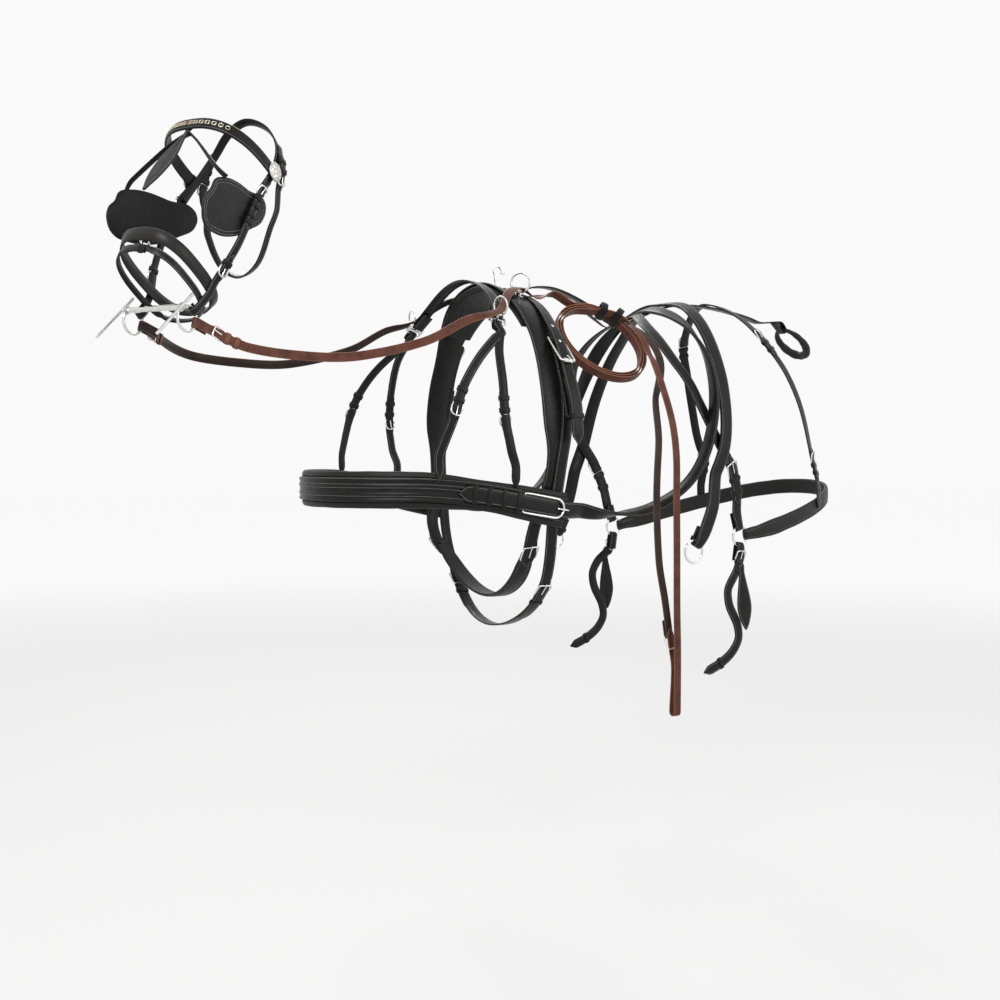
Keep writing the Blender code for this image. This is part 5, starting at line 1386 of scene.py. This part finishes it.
# %% Buckles, holes and rivets
def buckle(line, s, way, run=70 * mm, keepers=(14 * mm, 40 * mm), size=1.05, group=None, holes=2, round_end=False,
           heap="leather"):
    """A whole fastening on a strap: s is the far bar's distance and way points to the billet's tip."""
    half = line.at(s)[4]
    length = 2 * half * size + 4 * mm
    billet(line, s, way, 16 * mm, length + run, half - 0.4 * mm, group, heap)
    corner = (half + buckle_wire) * 0.8 if round_end else 4.5 * mm
    path = []
    for a, b in squared_path(length, half + buckle_wire + 0.6 * mm, min(corner, 0.45 * length)):
        lift = (billet_thick + buckle_wire + 0.3 * mm) * (1 - a / length) - 2.2 * mm * a / length
        path.append(line.spot(s + way * a, b, lift))
    heaps["steel"].append(tube_mesh(path, buckle_wire, 10, closed=True))
    tongue = [line.spot(s + way * a * length, 0, lift) for a, lift in (
        (0.86, billet_thick - 0.6 * mm), (0.7, billet_thick + 1.1 * mm), (0.35, billet_thick + 2.6 * mm),
        (0.0, billet_thick + 2 * buckle_wire + 1.6 * mm), (-0.12, billet_thick + 2 * buckle_wire + 0.6 * mm))]
    heaps["steel"].append(tube_mesh(tongue, np.array((1.5, 1.5, 1.5, 1.4, 0.9)) * mm, 8))
    for k in keepers:
        keeper(line, s + way * (length + k), half, billet_thick, heap)
    for k in range(holes):
        place = s + way * (length + keepers[0] + (12 + 22 * k) * mm if keepers else length + (14 + 22 * k) * mm)
        if abs(place - s) < length + run - 12 * mm:
            punch(line, place, billet_thick + 0.3 * mm)


def punch(line, s, raised=0.3 * mm, radius=2.0 * mm):
    """A punched hole, shown as a dark disc of painted shade just proud of the leather."""
    under, tangent, across, out, _, thick = line.at(s)
    foot = under + out * (thick + raised - 0.25 * mm)
    ring = radius * circle(12, tangent, across)
    lip = out * 0.15 * mm
    rows = np.array((foot + ring, foot + ring + lip, foot + ring * 0.7 + lip))
    heaps["holes"].append(skin_mesh("hole", rows, np.zeros((1, 12))))


def stud(line, s, aside, radius=4.0 * mm, height=1.8 * mm):
    """A round-headed rivet through a strap."""
    under, tangent, across, out, _, thick = line.at(s)
    foot = under + out * (thick - 0.3 * mm) + across * aside
    way = circle(20, tangent, across)
    rows = [foot + way * radius * math.cos(a) + out * height * math.sin(a) for a in np.linspace(0, 1.52, 7)]
    heaps["steel"].append(skin_mesh("stud", np.array(rows), np.zeros((1, 20))))


print("a buckle's wire is", round(2 * buckle_wire / mm, 1), "mm thick")

# %% [markdown]
# ## Where the fastenings are
#
# Each row names a strap, the pixel of the photograph where the buckle's far bar is seen, and the way to the
# billet's tip along the strap. It is made again on the other side: at the same distance on the fellow strap, or
# from the other end of a strap that has no fellow.

# %% Fastenings
def mirrored(node, s):
    """The strap and distance of the same place on the other side of the harness."""
    stem, _, side = node.rpartition("_")
    if side in ("left", "right"):
        return stem + ("_right" if side == "left" else "_left"), s
    return node, lines[node].length - s


fastenings = (
    ("cheekpiece_left", (262, 188), 1, dict(run=84 * mm, keepers=(6 * mm, 26 * mm, 52 * mm, 70 * mm), group="bridle",
                                            round_end=True)),
    ("cheekpiece_left", (222, 276), -1, dict(run=26 * mm, keepers=(6 * mm,), group="bridle", holes=0,
                                             round_end=True)),
    ("nose_strap", (140, 252), 1, dict(run=44 * mm, keepers=(6 * mm,), round_end=True, holes=2)),
    ("rein_left", (209, 338), 1, dict(run=58 * mm, keepers=(8 * mm, 30 * mm), heap="rein", holes=0)),
    ("throatlatch", (279, 186), 1, dict(run=46 * mm, keepers=(8 * mm, 30 * mm), group="bridle")),
    ("neck_fork_left", (452, 415), -1, dict(run=58 * mm, keepers=(8 * mm, 34 * mm), round_end=True, holes=1)),
    ("neck_fork_left", (509, 425), 1, dict(run=66 * mm, keepers=(10 * mm, 38 * mm), round_end=True, holes=1)),
    ("belly_band", (546, 584), -1, dict(run=96 * mm, keepers=(22 * mm,), group="saddle", holes=1)),
    ("saddle_top", (531, 548), 1, dict(run=14 * mm, keepers=(), holes=0)),
    ("loin_strap", (733, 462), 1, dict(run=74 * mm, keepers=(10 * mm, 46 * mm), group="rear")),
    ("hip_strap", (811, 452), 1, dict(run=52 * mm, keepers=(8 * mm, 30 * mm), group="rear")),
    ("hip_strap", (762, 326), 1, dict(run=60 * mm, keepers=(10 * mm, 34 * mm), group="rear")),
    ("holdback_left", (749, 553), 1, dict(run=38 * mm, keepers=(6 * mm,), holes=0)),
)
for node, pixel, way, facts in fastenings:
    line = lines[node]
    s = line.nearest(pixel)
    if not node.endswith("_left"):
        way = way if s > line.length / 2 else -way
    buckle(line, s, way, **facts)
    other, distance = mirrored(node, s)
    buckle(lines[other], distance, way if node.endswith("_left") else -way, **facts)
    print(node, "fastened at", round(s / mm), "of", round(line.length / mm))

# %% [markdown]
# ## Keepers, studs and holes that stand alone
#
# Keepers hold the traces on the collar, and there is one more a side on the backband, the holdback and the part of
# the trace that is put up. Spare holes run along the middle of the traces, forks, belly band, loin strap and hip
# strap, and the backband has two rivets a side.

# %% Keepers, studs and holes
alone = (("trace_left", (474, 494)), ("trace_left", (490, 497)), ("trace_left", (505, 500)),
         ("trace_left", (519, 503)), ("backband", (576, 416)),
         ("holdback_left", (712, 650)), ("trace_right", (697, 540)))
for node, pixel in alone:
    s = lines[node].nearest(pixel)
    for name, distance in ((node, s), mirrored(node, s)):
        keeper(lines[name], distance, lines[name].at(distance)[4], 0)
spare_holes = (("trace_left", (581, 510), 5), ("neck_fork_left", (470, 375), 4), ("neck_fork_left", (503, 372), 4),
               ("belly_band", (546, 540), 4), ("loin_strap", (731, 380), 3), ("hip_strap", (800, 405), 3))
hole_step = 26 * mm
for node, pixel, count in spare_holes:
    s = lines[node].nearest(pixel)
    for k in range(count):
        place = s + k * hole_step
        other, distance = mirrored(node, place)
        punch(lines[node], place)
        punch(lines[other], distance)
for node, pixel in (("backband", (538, 331)), ("backband", (545, 345))):
    s = lines[node].nearest(pixel)
    other, distance = mirrored(node, s)
    stud(lines[node], s, 0)
    stud(lines[other], distance, 0)
print("loose keepers", 2 * len(alone), "spare holes", 2 * sum(row[2] for row in spare_holes))

# %% [markdown]
# ## The loops round the coil
#
# Two leather loops hold the coil of rein together. Each is a round-cornered band about all the turns that run
# beside one place, so its size comes from those turns. They are the ones within loop_reach of the place along the
# strap and within loop_near of it in all. A circle whose ways are raised to a power under 1 has squarer corners.

# %% Loops round the coil
loop_reach = 14 * mm
loop_near = 42 * mm
loop_room = 1.0 * mm
loop_half = 8.5 * mm
loop_sharp = 0.55
loop_section = ((0, -1), (0, 1), (2.2 * mm, 1), (2.8 * mm, 0.6), (2.8 * mm, -0.6), (2.2 * mm, -1))


def wrap(line, s):
    """A leather loop round all the turns of a coil that run beside a place on it."""
    under, tangent, across, out, _, _ = line.at(s)
    away = line.under - under
    beside = (np.abs(away @ tangent) < loop_reach) & (np.linalg.norm(away, axis=1) < loop_near)
    corners = np.concatenate([line.under + line.across * line.half[:, None] * k + line.out * line.thick[:, None] * n
                              for k in (-1, 1) for n in (0, 1)])[np.tile(beside, 4)] - under
    middle = under
    halves = []
    for way in (across, out):
        low, high = (corners @ way).min() - loop_room, (corners @ way).max() + loop_room
        middle = middle + way * (low + high) / 2
        halves.append((high - low) / 2)
    turn = 2 * math.pi * np.arange(48) / 48
    rows = []
    for ways in zip(np.cos(turn), np.sin(turn)):
        a, o = (math.copysign(abs(way) ** loop_sharp, way) for way in ways)
        rows.append([middle + across * a * (halves[0] + wall) + out * o * (halves[1] + wall)
                     + tangent * share * loop_half for wall, share in loop_section])
    heaps["leather"].append(skin_mesh("wrap", np.array(rows), np.array(((0, 0, 0.95, 0.8, 0.8, 0.95),)), closed=True))


loop_pixels = ((600, 317), (613, 324))
for pixel in loop_pixels:
    wrap(lines["rein_left"], lines["rein_left"].nearest(pixel))
print("loops round the coil", len(loop_pixels))

# %% [markdown]
# ## The small metal and leather pieces as they are shown
#
# All the buckles ride on the harness, and so do the billets, keepers and holes, so each kind is one mesh.

# %% Show the fastenings
for name, heap, finish, slot in (("small_buckles", "steel", steel, "polished_steel"),
                                 ("billets_and_keepers", "leather", bridle_leather, "black_leather"),
                                 ("rein_billets", "rein", rein_leather, "brown_leather"),
                                 ("punched_holes", "holes", hole_shade, "black_leather")):
    shown = show(name, joined(name, heaps[heap]), finish)
    print(name, len(shown.data.polygons), "faces")

# %% [markdown]
# ## Stitches
#
# Harness is sewn at five or six stitches to the inch. Every track that was kept gets its stitches from the tree.

# %% Lay the stitches
faces_of_stitch = len(stitch.data.polygons)
for group, paths in tracks.items():
    if paths:
        mesh = laid(paths, stitch_pitch, stitch, thread)
        print(group, "stitches:", len(mesh.polygons) // faces_of_stitch)
        slot = "padded_leather" if group == "pads" else "black_leather"
        show("stitches_" + group, mesh, None, "face_drop" if group == "drop" else "harness")

# %% [markdown]
# ## The floor
#
# The harness hangs over a plain pale floor that keeps its shadow. Away from the harness the floor glows a little
# more, which brings it near the white of the backdrop. Polished metal mirrors that glow as well.


# %% Floor
def direct_rays(nodes, links):
    """1 where a ray comes from the camera, also by way of metal or a clear stone, and 0 elsewhere."""
    path = added(nodes, "LightPath")
    found = path.outputs["Is Camera Ray"]
    for kind in ("Is Glossy Ray", "Is Transmission Ray"):
        either = added(nodes, "Math")
        either.operation = "MAXIMUM"
        links.new(found, either.inputs[0])
        links.new(path.outputs[kind], either.inputs[1])
        found = either.outputs["Value"]
    return found


floor_height = -1.46
floor_mesh = bpy.data.meshes.new("floor")
reach = 30
floor_corners = [(x * reach, y * reach, floor_height) for x, y in ((-1, -1), (1, -1), (1, 1), (-1, 1))]
floor_mesh.from_pydata(floor_corners, [], [(0, 1, 2, 3)])
floor = in_scene("floor", floor_mesh)
floor_finish, floor_nodes, floor_links = new_material("pale_floor")
plain = floor_nodes["Principled BSDF"]
plain.inputs["Base Color"].default_value = (0.5, 0.5, 0.495, 1)
plain.inputs["Roughness"].default_value = 0.9
plain.inputs["Specular IOR Level"].default_value = 0.0
plain.inputs["Emission Color"].default_value = (1, 1, 1, 1)
away = added(floor_nodes, "VectorMath")
away.operation = "LENGTH"
rising = added(floor_nodes, "MapRange", From_Min=2.5, From_Max=9.0, To_Min=0.48, To_Max=0.72)
rising.interpolation_type = "SMOOTHSTEP"
glow = added(floor_nodes, "Math")
glow.operation = "MULTIPLY"
floor_links.new(added(floor_nodes, "NewGeometry").outputs["Position"], away.inputs[0])
floor_links.new(away.outputs["Value"], rising.inputs["Value"])
floor_links.new(rising.outputs["Result"], glow.inputs[0])
floor_links.new(direct_rays(floor_nodes, floor_links), glow.inputs[1])
floor_links.new(glow.outputs["Value"], plain.inputs["Emission Strength"])
floor_mesh.materials.append(floor_finish)
print("the floor is", 2 * reach, "m wide")

# %% [markdown]
# ## The light
#
# Three soft lamps and a grey world light the leather. The world is near white only for rays from the camera,
# straight or by way of metal or the stone, so the backdrop is white with no more light on the leather.

# %% Light
world = bpy.data.worlds.new("studio")
world.use_nodes = True
bpy.context.scene.world = world
nodes, links = world.node_tree.nodes, world.node_tree.links
ground = nodes["Background"]
ground.inputs["Color"].default_value = (1, 1, 1, 1)
level = added(nodes, "MapRange", To_Min=0.45, To_Max=0.95)
links.new(direct_rays(nodes, links), level.inputs["Value"])
links.new(level.outputs["Result"], ground.inputs["Strength"])

lamps = (("key", (2.6, -2.6, 2.4), 1.6, 80), ("fill", (3.4, 2.0, 0.8), 2.0, 30), ("rim", (-2.5, 1.0, 2.6), 1.6, 55))
lamps_aim = Vector((0, 0, -0.3))
for name, place, size, power in lamps:
    lamp = bpy.data.lights.new(name, "AREA")
    lamp.size = size
    lamp.energy = power
    thing = in_scene(name, lamp)
    thing.location = place
    thing.rotation_euler = (lamps_aim - Vector(place)).to_track_quat("-Z", "Y").to_euler()
bpy.context.scene.view_settings.view_transform = "Standard"
print("lamps", len(lamps))

# %% [markdown]
# ## The stitch goes
#
# The stitch has been copied and goes.

# %% The stitch goes
bpy.data.objects.remove(stitch)
